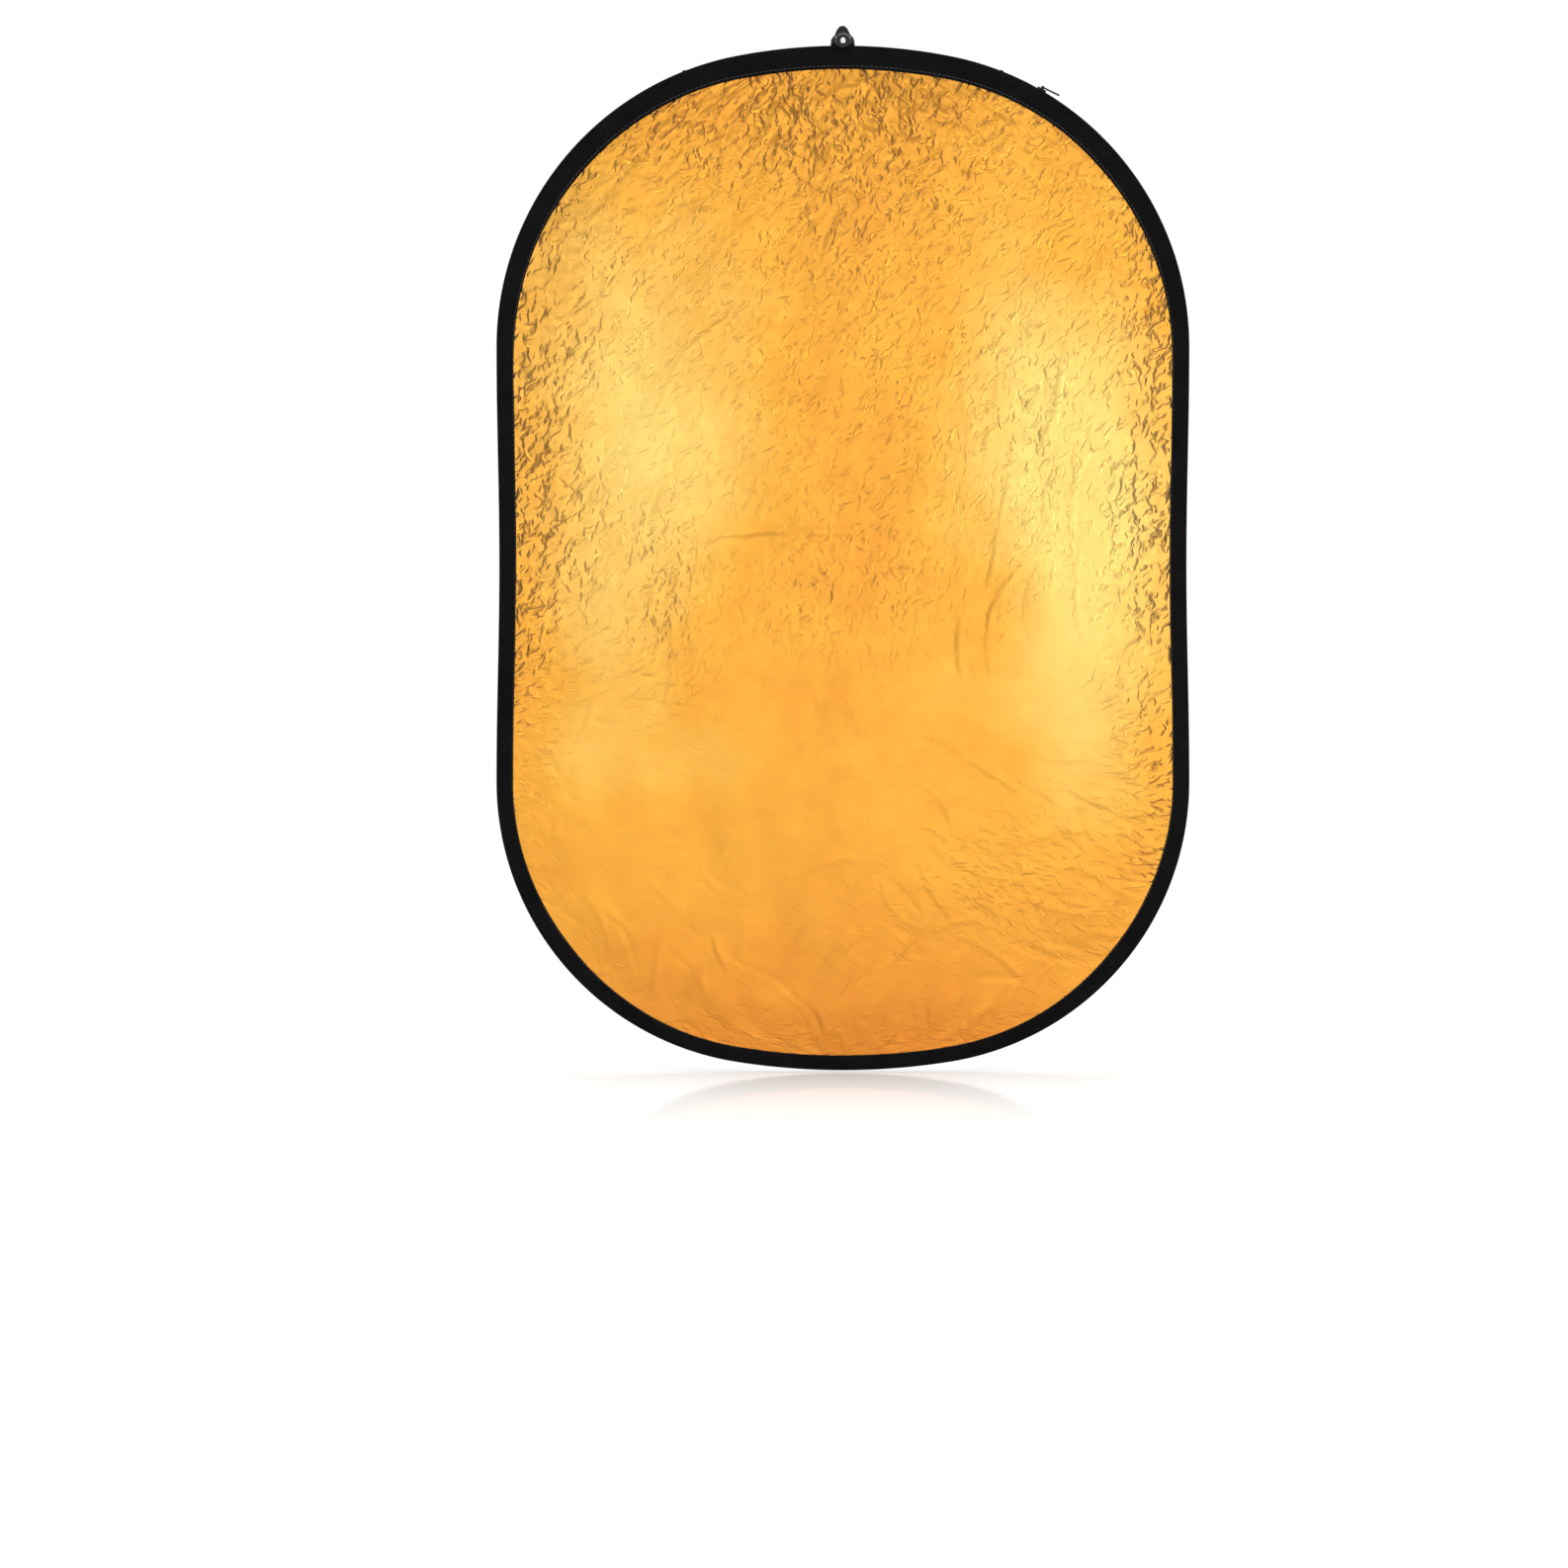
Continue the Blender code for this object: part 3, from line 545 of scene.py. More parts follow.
def sheet_grid(edge):
    """Grid points (x, z) inside the rim at a depth, and each one's distance to the rim's edge."""
    right = RIM[: len(RIM) // 2 + 1]
    x = right[:, 0] + right[:, 2] * edge
    z = right[:, 1] + right[:, 3] * edge
    rows = np.linspace(z[0] - 0.25 * MM, z[-1] + 0.25 * MM, ROWS)
    reach = np.interp(-rows, -z, x)
    across = np.linspace(-1, 1, COLUMNS)
    gx = reach[:, None] * across[None, :]
    gz = np.repeat(rows[:, None], COLUMNS, axis=1)
    gap = np.full(gx.shape, 1.0)
    for px, pz in RIM[::4, :2]:
        gap = np.minimum(gap, np.hypot(gx - px, gz - pz))
    return gx, gz, gap


def crease(gx, gz, place, angle, length, width, height, bow):
    """One crease: a sharp slope along a bowed line that fades at its ends."""
    dx, dz = gx - place[0], gz - place[1]
    along = dx * cos(angle) + dz * sin(angle)
    across = -dx * sin(angle) + dz * cos(angle) - bow * along**2
    fade = np.clip(1 - (2 * along / length) ** 2, 0, 1) ** 1.5
    ratio = across / width
    return height * fade * (0.65 * np.exp(-np.abs(ratio)) + ratio * np.exp(-(ratio**2)))


def crumple(gx, gz, families, seed):
    """Sums families of creases, each with a count and the means and spreads of its creases."""
    random = np.random.default_rng(seed)
    total = np.zeros_like(gx)
    for count, middle, spread, angle, turn, length, width, height in families:
        for _ in range(count):
            place = random.normal(middle, spread)
            lean = radians(random.normal(angle, turn))
            size = length * random.uniform(0.5, 1.6)
            thick = width * random.uniform(0.7, 1.4)
            bow = random.normal(0, 6.0)
            near = np.hypot(gx - place[0], gz - place[1]) < size * 0.5 + 4 * thick
            if near.any():
                lift = height * random.uniform(0.3, 1.0) * random.choice((-1, 1))
                total[near] += crease(gx[near], gz[near], place, lean, size, thick, lift, bow)
    return total


def band_noise(seed, wave, angle=0.0, stretch=1.0):
    """Smooth random relief of one wavelength, in metres, longer along one direction; about -3 to 3."""
    random = np.random.default_rng(seed)
    grain = np.fft.rfft2(random.normal(size=(ROWS, COLUMNS)))
    fz = np.fft.fftfreq(ROWS, HEIGHT / ROWS)[:, None]
    fx = np.fft.rfftfreq(COLUMNS, 2 * HALF_WIDTH / COLUMNS)[None, :]
    along = (fx * cos(angle) - fz * sin(angle)) * stretch
    across = fx * sin(angle) + fz * cos(angle)
    size = np.hypot(along, across) * wave
    passed = np.exp(-(((size - 1) / 0.35) ** 2)) + np.exp(-((size / 1.2) ** 4)) * 0.25
    field = np.fft.irfft2(grain * passed, s=(ROWS, COLUMNS))
    return field / field.std()


def fold_lines(seed, wave, angle, stretch, sharp=0.30):
    """Relief that is sharpest along random winding lines, as crushed foil is; 0 to 1."""
    field = band_noise(seed, wave, angle, stretch)
    line = np.clip(1 - np.abs(field) / sharp, 0, 1)
    broken = np.clip(band_noise(seed + 50, wave * 2.4) + 0.1, 0, 1)
    return line * broken * np.sign(band_noise(seed + 90, wave * 3.0)) + 0.10 * np.abs(field)


def rim_creases(gx, gz, seed, count, height):
    """Short creases that run in from the rim, where the cloth is gathered into the tape."""
    random = np.random.default_rng(seed)
    total = np.zeros_like(gx)
    for distance in random.uniform(0, RIM_LENGTH[-1], count):
        row = at_length(np.array([distance]))[0]
        depth = random.uniform(18, 52) * MM
        place = (row[0] + row[2] * depth, row[1] + row[3] * depth)
        lean = np.arctan2(row[3], row[2]) + random.normal(0, 0.7)
        size, thick = random.uniform(14, 46) * MM, random.uniform(2.4, 4.6) * MM
        near = np.hypot(gx - place[0], gz - place[1]) < size * 0.5 + 4 * thick
        lift = height * random.uniform(0.3, 1.0) * random.choice((-1, 1))
        total[near] += crease(gx[near], gz[near], place, lean, size, thick, lift, random.normal(0, 8.0))
    return total


def soft_folds(gx, gz, seed):
    """Broad shallow folds of cloth under tension, never behind the flat plane."""
    random = np.random.default_rng(seed)
    total = np.zeros_like(gx)
    for _ in range(9):
        angle, wave = random.uniform(-0.9, 0.9), random.uniform(0.10, 0.30)
        phase = random.uniform(0, 2 * pi)
        total += np.sin(2 * pi * (gx * cos(angle) + gz * sin(angle)) / wave + phase)
    return 1.0 + total / 9 * 1.6


# Families of creases on the gold and silver cloth, metres from the sheet's middle:
# count, middle, spread, angle, angle spread, length, width, height
FOLDED_LINE = 0.02
FOIL_CREASES = [
    (170, (0.0, 0.375), (0.16, 0.035), 14, 42, 0.032, 0.0026, 0.75 * MM),
    (60, (0.01, 0.350), (0.07, 0.030), 20, 60, 0.048, 0.0026, 0.85 * MM),
    (80, (-0.25, 0.18), (0.030, 0.13), 58, 34, 0.034, 0.0026, 0.70 * MM),
    (80, (-0.27, -0.02), (0.018, 0.11), 64, 38, 0.030, 0.0026, 0.65 * MM),
    (100, (0.26, 0.10), (0.028, 0.15), 66, 36, 0.036, 0.0026, 0.70 * MM),
    (30, (0.15, 0.09), (0.035, 0.08), 82, 8, 0.085, 0.0034, 0.95 * MM),
    (22, (-0.20, 0.00), (0.05, 0.07), 70, 24, 0.060, 0.0030, 0.60 * MM),
    (60, (0.0, 0.16), (0.16, 0.10), 48, 24, 0.030, 0.0028, 0.42 * MM),
    (16, (-0.155, -0.055), (0.010, 0.045), 86, 6, 0.034, 0.0026, 0.95 * MM),
    (8, (-0.120, 0.000), (0.006, 0.025), 84, 6, 0.026, 0.0026, 0.90 * MM),
    (38, (0.16, -0.27), (0.07, 0.06), -32, 14, 0.080, 0.0030, 0.85 * MM),
    (26, (0.23, -0.20), (0.035, 0.055), -12, 18, 0.065, 0.0030, 0.85 * MM),
    (14, (0.03, -0.36), (0.045, 0.025), 52, 12, 0.055, 0.0030, 0.55 * MM),
    (14, (-0.18, -0.34), (0.060, 0.030), -46, 14, 0.050, 0.0030, 0.50 * MM),
    (16, (-0.27, -0.17), (0.015, 0.050), -58, 12, 0.040, 0.0028, 0.60 * MM),
    (20, (0.24, -0.20), (0.02, 0.08), 72, 24, 0.030, 0.0026, 0.60 * MM),
    (26, (-0.10, -0.33), (0.12, 0.05), 30, 28, 0.055, 0.0042, 0.40 * MM),
    (12, (0.0, FOLDED_LINE), (0.20, 0.0015), 0, 2, 0.170, 0.0036, 0.50 * MM),
]


def closed_sheet(name, gx, gz, heights, side, values=None):
    """A thin closed cloth: a fine skin on its face and a coarser one behind, joined round the edge."""
    front = np.stack([gx, MID_Y + side * heights, gz], axis=2)
    back = front[::BACK_STEP, ::BACK_STEP] - np.array([0, side * CLOTH_THICKNESS, 0])
    faces = []
    starts = []
    start = 0
    for grid, flip in ((front, False), (back, True)):
        rows, columns = grid.shape[:2]
        index = np.arange(rows * columns).reshape(rows, columns) + start
        corners = [index[:-1, :-1], index[:-1, 1:], index[1:, 1:], index[1:, :-1]]
        quads = np.stack([c.ravel() for c in (corners[::-1] if flip else corners)], 1)
        faces += quads.tolist()
        starts.append(np.concatenate([index[0], index[1:, -1], index[-1, :-1][::-1], index[1:-1, 0][::-1]]))
        start += rows * columns
    fine, coarse = starts
    for k in range(len(coarse)):
        piece = [fine[(BACK_STEP * k + i) % len(fine)] for i in range(BACK_STEP + 1)]
        faces.append([*piece[::-1], coarse[k], coarse[(k + 1) % len(coarse)]])
    points = np.concatenate([front.reshape(-1, 3), back.reshape(-1, 3)])
    mesh = bpy.data.meshes.new(name)
    mesh.from_pydata(points.tolist(), [], [[int(i) for i in face] for face in faces])
    for key, field in (values or {}).items():
        both = np.concatenate([field.ravel(), field[::BACK_STEP, ::BACK_STEP].ravel()])
        layer = mesh.attributes.new(key, "FLOAT", "POINT")
        layer.data.foreach_set("value", both.astype(np.float32))
    return mesh


def foil_lines(gz, density, seed):
    """Crushed relief of the foil: dense over the top and edges, sparse and longer elsewhere."""
    low = np.clip((MIDDLE_Z - gz) / 0.25, 0, 1)
    total = np.zeros_like(gz)
    for index, (angle, stretch, wave, height) in enumerate(
        ((42, 3.0, 0.015, 0.68), (58, 3.4, 0.017, 0.68), (76, 3.6, 0.019, 0.62), (-40, 3.0, 0.016, 0.30))
    ):
        total += density**1.1 * height * fold_lines(seed + 7 * index, wave, radians(angle), stretch)
    total += 0.22 * fold_lines(seed + 61, 0.026, radians(72), 3.6) * (1 - 0.8 * low) * (1 - 0.5 * density)
    total += 0.14 * fold_lines(seed + 62, 0.036, radians(-22), 3.0) * low
    total += 0.10 * band_noise(seed + 63, 0.055, radians(70), 1.6)
    return total * MM


# Where fine creases crowd: middle and reach (x, z from the sheet's middle), strength
CREASE_CROWDS = [
    ((0.000, 0.395), (0.120, 0.050), 0.85),
    ((-0.160, 0.370), (0.060, 0.040), 0.35),
    ((0.000, 0.330), (0.200, 0.090), 0.42),
    ((-0.275, 0.140), (0.050, 0.170), 0.70),
    ((-0.215, 0.230), (0.060, 0.060), 0.30),
    ((-0.280, -0.040), (0.035, 0.120), 0.60),
    ((0.275, 0.110), (0.045, 0.210), 0.75),
    ((0.030, 0.150), (0.150, 0.130), 0.27),
    ((0.160, 0.080), (0.045, 0.100), 0.20),
    ((0.010, -0.030), (0.070, 0.040), 0.34),
    ((-0.200, 0.000), (0.070, 0.090), 0.26),
    ((-0.150, -0.050), (0.030, 0.070), 0.34),
    ((0.280, -0.200), (0.030, 0.150), 0.50),
    ((0.170, -0.290), (0.110, 0.070), 0.20),
]
# Which way they run there: middle, reach and angle from level, degrees
CREASE_TURNS = [
    ((0.000, 0.400), (0.060, 0.050), 104),
    ((-0.160, 0.370), (0.080, 0.060), 45),
    ((0.150, 0.360), (0.080, 0.070), 42),
    ((-0.275, 0.140), (0.060, 0.170), 66),
    ((0.020, 0.160), (0.150, 0.120), 62),
    ((0.150, 0.060), (0.050, 0.110), 84),
    ((0.270, 0.060), (0.050, 0.200), 70),
    ((0.180, -0.270), (0.110, 0.100), -26),
    ((-0.180, -0.260), (0.120, 0.110), -42),
    ((0.000, -0.060), (0.150, 0.080), 86),
]


def by_place(gx, local_z, table):
    """Each row's weight over the sheet, with its last value."""
    for (x, z), (wide, tall), value in table:
        yield np.exp(-(((gx - x) / wide) ** 2) - ((local_z - z) / tall) ** 2), value


def crease_density(gx, local_z, gap):
    """0 where the foil is smooth, 1 where it is crushed."""
    edge = 0.35 * np.clip(1 - (gap - BINDING_WIDTH) / (35 * MM), 0, 1) * np.clip(1 + local_z / 0.4, 0.3, 1)
    crowds = sum(weight * value for weight, value in by_place(gx, local_z, CREASE_CROWDS))
    return np.clip(0.03 + edge + crowds, 0, 1)


def crease_turn(gx, local_z):
    """The angle that fine creases run at, from level, in radians."""
    rows = list(by_place(gx, local_z, CREASE_TURNS))
    total = sum(weight for weight, _ in rows) + 0.02
    return (sum(weight * radians(value) for weight, value in rows) + 0.02 * radians(50)) / total


# Painted light on the foil, paler painted highlight bands at left and right and deeper painted shade at the
# bottom, middle and top: middle and reach (x, z from the sheet's middle), strength
FOIL_PAINTED_LIGHT = [
    ((-0.175, 0.140), (0.085, 0.120), 0.50),
    ((-0.215, -0.100), (0.050, 0.160), 0.22),
    ((0.185, 0.110), (0.075, 0.130), 0.50),
    ((0.215, -0.060), (0.060, 0.170), 0.42),
    ((0.000, -0.460), (0.300, 0.150), -0.55),
    ((0.000, 0.000), (0.060, 0.300), -0.10),
    ((0.030, 0.420), (0.250, 0.060), -0.12),
]


def foil_tone(gx, local_z):
    """Painted light: 0 for the deepest painted shade, 1 for the palest painted highlight."""
    painted_light = sum(weight * value for weight, value in by_place(gx, local_z, FOIL_PAINTED_LIGHT))
    return np.clip(0.48 + painted_light, 0, 1)


def fading(gap, reach):
    """Smooth rise from the tape's edge to full size a reach further in."""
    share = np.clip((gap - 15 * MM) / reach, 0, 1)
    return share * share * (3 - 2 * share)


def under_tape(gap, gz):
    """A small share where the tape presses the cloth flat, rising to 1 just inside its edge."""
    width = np.interp(gz - BOTTOM_Z, TAPE_HEIGHTS, TAPE_WIDTHS)
    return 0.18 + 0.82 * np.clip((gap - width) / (7 * MM), 0, 1)


def sew(name, node, finish, slot, body, side, grid, heights, values=None):
    """One sheet from its grid and heights."""
    mesh = closed_sheet(name, *grid, heights, side, values)
    sheet = make_piece(name, mesh, finish, slot, body, node)


def build_sheets():
    """The five cloths, each between its neighbours, all sewn under the tape."""
    for name, node, finish, slot, edge, level, size, seed in (
        ("gold_sheet", "gold_face", GOLD, "gold_foil", FACE_EDGE, 2.25, 1.0, 3),
        ("silver_sheet", "silver_lining", SILVER, "silver_foil", LINING_EDGE, 1.45, 0.45, 3),
    ):
        gx, gz, gap = sheet_grid(edge)
        free = fading(gap, FREE_REACH)
        local_z = gz - MIDDLE_Z
        folds = 0.9 * MM * soft_folds(gx, gz, 5) * free
        hem = under_tape(gap, gz)
        density = crease_density(gx, local_z, gap)
        relief = crumple(gx, local_z, FOIL_CREASES, seed) + rim_creases(gx, gz, seed + 20, 190, 0.55 * MM)
        relief += foil_lines(gz, density, seed + 30)
        relief = np.clip(relief, -0.6 * MM, 1.6 * MM) * size * hem
        heights = level * MM + folds + relief
        # The painted highlights and painted shade for the foil's colour, held at each point.
        values = {"crease_density": density, "foil_tone": foil_tone(gx, local_z)}
        values["crease_turn"] = crease_turn(gx, local_z)
        sew(name, node, finish, slot, "cover_front", -1, (gx, gz), heights, values)
    for name, node, finish, slot, edge, level, size, seed in (
        ("white_sheet", "white_face", WHITE, "white_fabric", FACE_EDGE, 2.25, 0.30, 6),
        ("black_sheet", "black_lining", BLACK, "black_fabric", LINING_EDGE, 1.45, 0.2, 7),
    ):
        gx, gz, gap = sheet_grid(edge)
        back_folds = 0.8 * MM * soft_folds(gx, gz, 8) * fading(gap, FREE_REACH)
        hem = under_tape(gap, gz)
        relief = np.clip(rim_creases(gx, gz, seed, 150, 0.5 * MM) * size, -0.3 * MM, 0.5 * MM) * hem
        heights = level * MM + back_folds + relief
        sew(name, node, finish, slot, "reflector", 1, (gx, gz), heights)
    gx, gz, gap = sheet_grid(6.5 * MM)
    taut = np.clip((gap - BINDING_WIDTH) / (60 * MM), 0, 1)
    heights = 0.15 * MM + 0.3 * MM * (soft_folds(gx, gz, 12) - 1) * taut
    sew("diffuser_sheet", "diffuser_panel", DIFFUSER, "diffuser_fabric", "reflector", -1,
        (gx, gz), heights)


# ---------------- rim


def build_tapes():
    """Front tape, rear tape, and their stitching."""
    front = make_piece("rim_tape_front", tape_ring("rim_tape_front", -1), TAPE, "binding_tape", None,
                       "front_binding", "front_binding_header")
    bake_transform(front)
    rear = tape_ring("rim_tape_rear", 1)
    make_piece("rim_tape_rear", rear, TAPE, "binding_tape", "reflector", "rear_binding")
    for label, side, body in (("front", -1, "cover_front"), ("rear", 1, "reflector")):
        name = "tape_stitching_" + label
        mesh = stitches(name, None, side * 3.06 * MM, side)
        make_piece(name, mesh, BLACK_THREAD, "binding_tape", body)


def zip_span():
    """Distances round the rim where the zip starts and ends."""
    start = RIM_LENGTH[np.argmax(RIM[:, 1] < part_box("zip_coil_front")[1][2])]
    return start, RIM_LENGTH[-1] - start


def build_zip():
    """Each half: a woven strip under the tape's lip and a row of interlocking coil teeth."""
    start, end = zip_span()
    pitch = 2.0 * MM
    for label, side, body, node in (
        ("front", -1, "cover_front", "zip_coil_front"),
        ("rear", 1, "reflector", "zip_coil_rear"),
    ):
        stations = at_length(np.linspace(start, end, 460))
        strip = [(0.95, 1.0), (0.95, 2.7), (1.25, 2.7), (1.25, 1.0)]
        rings = [on_rim(stations, depth * MM, side * offset * MM) for depth, offset in strip]
        name = "zip_strip_" + label
        make_piece(name, along_rim(name, rings, False), TAPE, "zipper_coil", body)
        shift = pitch / 2 if side > 0 else 0.0
        rows = at_length(np.arange(start + shift, end, pitch))
        places = on_rim(rows, 0.72 * MM, side * 0.62 * MM)
        along = np.array([0.0, float(side), 0.0])
        ways = [-np.array([row[2], 0.0, row[3]]) for row in rows]
        size = (1.5 * MM, 0.42 * MM, 0.5 * MM)
        teeth = [capsule(place, along, up, *size) for place, up in zip(places, ways)]
        name = "zip_teeth_" + label
        make_piece(name, many_solids(name, teeth), COIL, "zipper_coil", body, node)


def build_pocket():
    """The black tape folded round the hoop and sewn to the diffuser."""
    half = [(3.5, 2.75), (6.8, 2.75), (8.6, 1.6), (10.3, 0.5), (16.0, 0.5), (16.0, 0.9), (10.5, 0.9),
            (8.8, 2.1), (7.2, 3.15), (3.3, 3.2), (3.0, 2.9)]
    section = half + [(depth, -offset) for depth, offset in half[::-1]]
    rings = [on_rim(RIM, depth * MM, offset * MM) for depth, offset in section]
    mesh = along_rim("hoop_pocket", rings)
    make_piece("hoop_pocket", mesh, TAPE, "binding_tape", "reflector", "hoop_binding")
    for side in (-1, 1):
        name = "pocket_stitching_" + ("front" if side < 0 else "rear")
        mesh = stitches(name, 14.0 * MM, side * 0.92 * MM, side, 5.0 * MM, 3.6 * MM)
        make_piece(name, mesh, BLACK_THREAD, "binding_tape", "reflector")


# ---------------- holder


def turned_mesh(name, profile, place, steps=96, closed=False, shape=None):
    """A turned solid from (radius, height) rows in millimetres; shape(angle, row) may change a radius."""
    angles = 2 * pi * np.arange(steps) / steps
    rings = []
    for index, row in enumerate(profile):
        rx, ry, height = row if len(row) == 3 else (row[0], row[0], row[1])
        swell = np.ones(steps) if shape is None else np.array([shape(angle, index) for angle in angles])
        x, y = rx * swell * np.cos(angles), ry * swell * np.sin(angles)
        rings.append([place @ Vector((a, b, height)) * MM for a, b in zip(x, y)])
    return skin(name, np.array(rings), closed)


def round_edges(profile, radius=0.35, closed=False):
    """Rounds every corner of a profile with two points, so that no edge is knife sharp."""
    count = len(profile)
    rows = []
    for i, row in enumerate(profile):
        if not closed and i in (0, count - 1):
            rows.append(Vector(row))
            continue
        here = Vector(row)
        before = Vector(profile[i - 1]) - here
        after = Vector(profile[(i + 1) % count]) - here
        reach = min(radius, before.length * 0.45, after.length * 0.45)
        first, last = here + before.normalized() * reach, here + after.normalized() * reach
        rows += [first, (first + last) * 0.25 + here * 0.5, last]
    return [tuple(row) for row in rows]


def along_arm():
    """Local Z is world -Y from the stand's axis and local Y is up, millimetres."""
    return Matrix.Translation((0, 0, ARM_AXIS.z / MM)) @ Matrix.Rotation(pi / 2, 4, "X")


def out_of_collar():
    """Local Z runs out along the clamping screw, millimetres."""
    spin = Vector((0, 0, 1)).rotation_difference(Vector(KNOB_JOINT["axis"])).to_matrix().to_4x4()
    return Matrix.Translation(Vector(KNOB_JOINT["pos_m"]) / MM) @ spin


def subtract(piece, mesh):
    """Cuts a shape out of a piece for good."""
    face_outward(mesh)
    tool = put("tool", mesh)
    step = piece.modifiers.new("cut", "BOOLEAN")
    step.solver = "EXACT"
    step.object = tool
    apply_modifiers(piece)
    bpy.data.objects.remove(tool)


def apply_modifiers(piece):
    """Replaces a piece's mesh with what its modifiers make."""
    bpy.context.view_layer.update()
    view = piece.evaluated_get(bpy.context.evaluated_depsgraph_get())
    mesh = bpy.data.meshes.new_from_object(view)
    piece.modifiers.clear()
    piece.data = mesh


def build_collar():
    """Chrome collar with its lower ring and the clamping screw's boss."""
    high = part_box("stand_collar")[1]
    radius, top = high[0] / MM, high[2] / MM
    profile = [(8.1, 0), (10.0, 0), (10.0, 2.5), (radius, 2.5), (radius, top)]
    profile += [(2.8, top), (2.8, 24), (8.1, 24)]
    mesh = turned_mesh("collar_shell", round_edges(profile, 0.35, True), Matrix(), 128, True)
    collar = make_piece("collar_shell", mesh, CHROME, "chrome", "collar", "stand_collar")
    way = turned_mesh("way", [(3.3, 5), (3.3, 11), (5.4, 11), (5.4, 20)], out_of_collar(), 48)
    subtract(collar, way)
    boss = [(3.3, 11.3), (5.0, 11.3), (5.0, 14.0), (3.3, 14.0)]
    mesh = turned_mesh("boss_ring", round_edges(boss, 0.5, True), out_of_collar(), 64, True)
    make_piece("boss_ring", mesh, STEEL, "screw_steel", "collar", "collar_boss")


def build_knob():
    """Polished oval knob with a small moulded dot, on its screw."""
    place = out_of_collar()
    level = place.to_3x3().inverted() @ Vector((-KNOB_JOINT["axis"][1], KNOB_JOINT["axis"][0], 0))
    tilt = -Vector((1, 0)).angle_signed(Vector((level.x, level.y))) + radians(14)
    place = place @ Matrix.Rotation(tilt, 4, "Z")
    long_half, short_half, back, thick = 11.5, 6.7, 17.0, 8.5
    neck = [(3.3, 20.8), (3.3, 15.5), (3.5, 15.4), (4.4, 15.4), (4.6, 15.7), (4.6, back)]
    rows = [(radius, radius, height) for radius, height in neck]
    for i in range(1, 25):
        angle = -0.30 * pi + 0.80 * pi * i / 24
        share = max(0.0, cos(angle)) ** 0.85
        lift = 0.58 * sin(angle) if angle > 0 else 0.42 * sin(angle) / sin(0.30 * pi)
        height = back + thick * (0.42 + lift)
        rows.append((max(0.45, long_half * share), max(0.45, short_half * share), height))
    rows += [(0.75, 0.75, back + thick), (0.7, 0.7, back + thick + 0.12), (0.3, 0.3, back + thick + 0.2)]
    mesh = turned_mesh("knob_oval", rows, place, 96)
    make_piece("knob_oval", mesh, KNOB, "knob_plastic", "lock_knob", "lock_knob", smooth=radians(60))
    screw = [(2.2, 8.6), (2.2, 9.3)]
    height = 9.5
    while height < 19.6:
        screw += [(3.0, height), (2.55, height + 0.5)]
        height += 1.0
    mesh = turned_mesh("screw_threaded", screw + [(2.6, 20.4)], place, 40)
    make_piece("screw_threaded", mesh, STEEL, "screw_steel", "lock_screw", "lock_screw")


def build_elbow():
    """Black elbow with softly rounded ends and the shaft's socket."""
    low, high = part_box("elbow_head")
    bottom, top = low[2] / MM, high[2] / MM
    profile = [(2.8, 44.0), (2.8, bottom), (10.0, bottom), (10.0, top), (0.6, top)]
    mesh = turned_mesh("elbow_body", round_edges(profile, 0.8), Matrix(), 128)
    elbow = make_piece("elbow_body", mesh, ABS, "black_abs", "arm", "elbow_head")
    subtract(elbow, turned_mesh("socket", [(4.3, 5.0), (4.3, 16.0)], along_arm(), 64))


def build_shaft():
    """Cross-ribbed shaft with its discs, and the ribbed jaw beyond the rim."""
    place = along_arm()
    bars = []
    for wide, tall in ((7.4, 1.3), (1.3, 7.4)):
        for ends in ((12.2, 23.5), (25.1, 28.9)):
            corners = [(x, y, z) for z in ends for x in (-wide, wide) for y in (-tall, tall)]
            bars.append([place @ Vector(corner) for corner in corners])
    box = [(0, 1, 3, 2), (4, 6, 7, 5), (0, 4, 5, 1), (2, 3, 7, 6), (0, 2, 6, 4), (1, 5, 7, 3)]
    mesh = many_solids("shaft_ribs", [([p * MM for p in bar], box) for bar in bars])
    ribs = make_piece("shaft_ribs", mesh, SHAFT_ABS, "black_abs", "arm")
    soften = ribs.modifiers.new("soft_edges", "BEVEL")
    soften.width = 0.25 * MM
    soften.segments = 2
    apply_modifiers(ribs)
    profile = [
        (4.0, 5.3), (4.0, 10.4), (7.7, 10.4), (7.7, 12.0), (3.0, 12.0), (3.0, 23.6), (7.7, 23.6),
        (7.7, 25.2), (3.0, 25.2), (3.0, 29.0), (8.8, 29.0), (8.8, 30.4), (2.9, 30.4), (2.9, 67.1),
        (1.4, 67.1), (1.4, 60.0),
    ]
    mesh = turned_mesh("shaft_discs", round_edges(profile, 0.3), place, 96)
    make_piece("shaft_discs", mesh, SHAFT_ABS, "black_abs", "arm", "plunger_shaft")
    back = -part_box("jaw_tip")[1][1] / MM
    tip = [
        (3.2, back + 5.0), (3.2, back), (6.8, back), (6.8, back + 6.4), (6.2, back + 8.2), (4.8, back + 9.2),
        (2.9, back + 9.6), (2.9, back + 8.0), (1.7, back + 8.0), (1.7, back + 5.0),
    ]
    rounded = round_edges(tip, 0.5, True)

    def flutes(angle, row):
        outer = rounded[row][0] > 5.5 and rounded[row][1] > back + 0.8
        return 1.0 - (0.05 * max(0.0, cos(22 * angle)) ** 3 if outer else 0.0)

    mesh = turned_mesh("tip_ribbed", rounded, place, 264, True, flutes)
    make_piece("tip_ribbed", mesh, SHAFT_ABS, "black_abs", "arm", "jaw_tip")


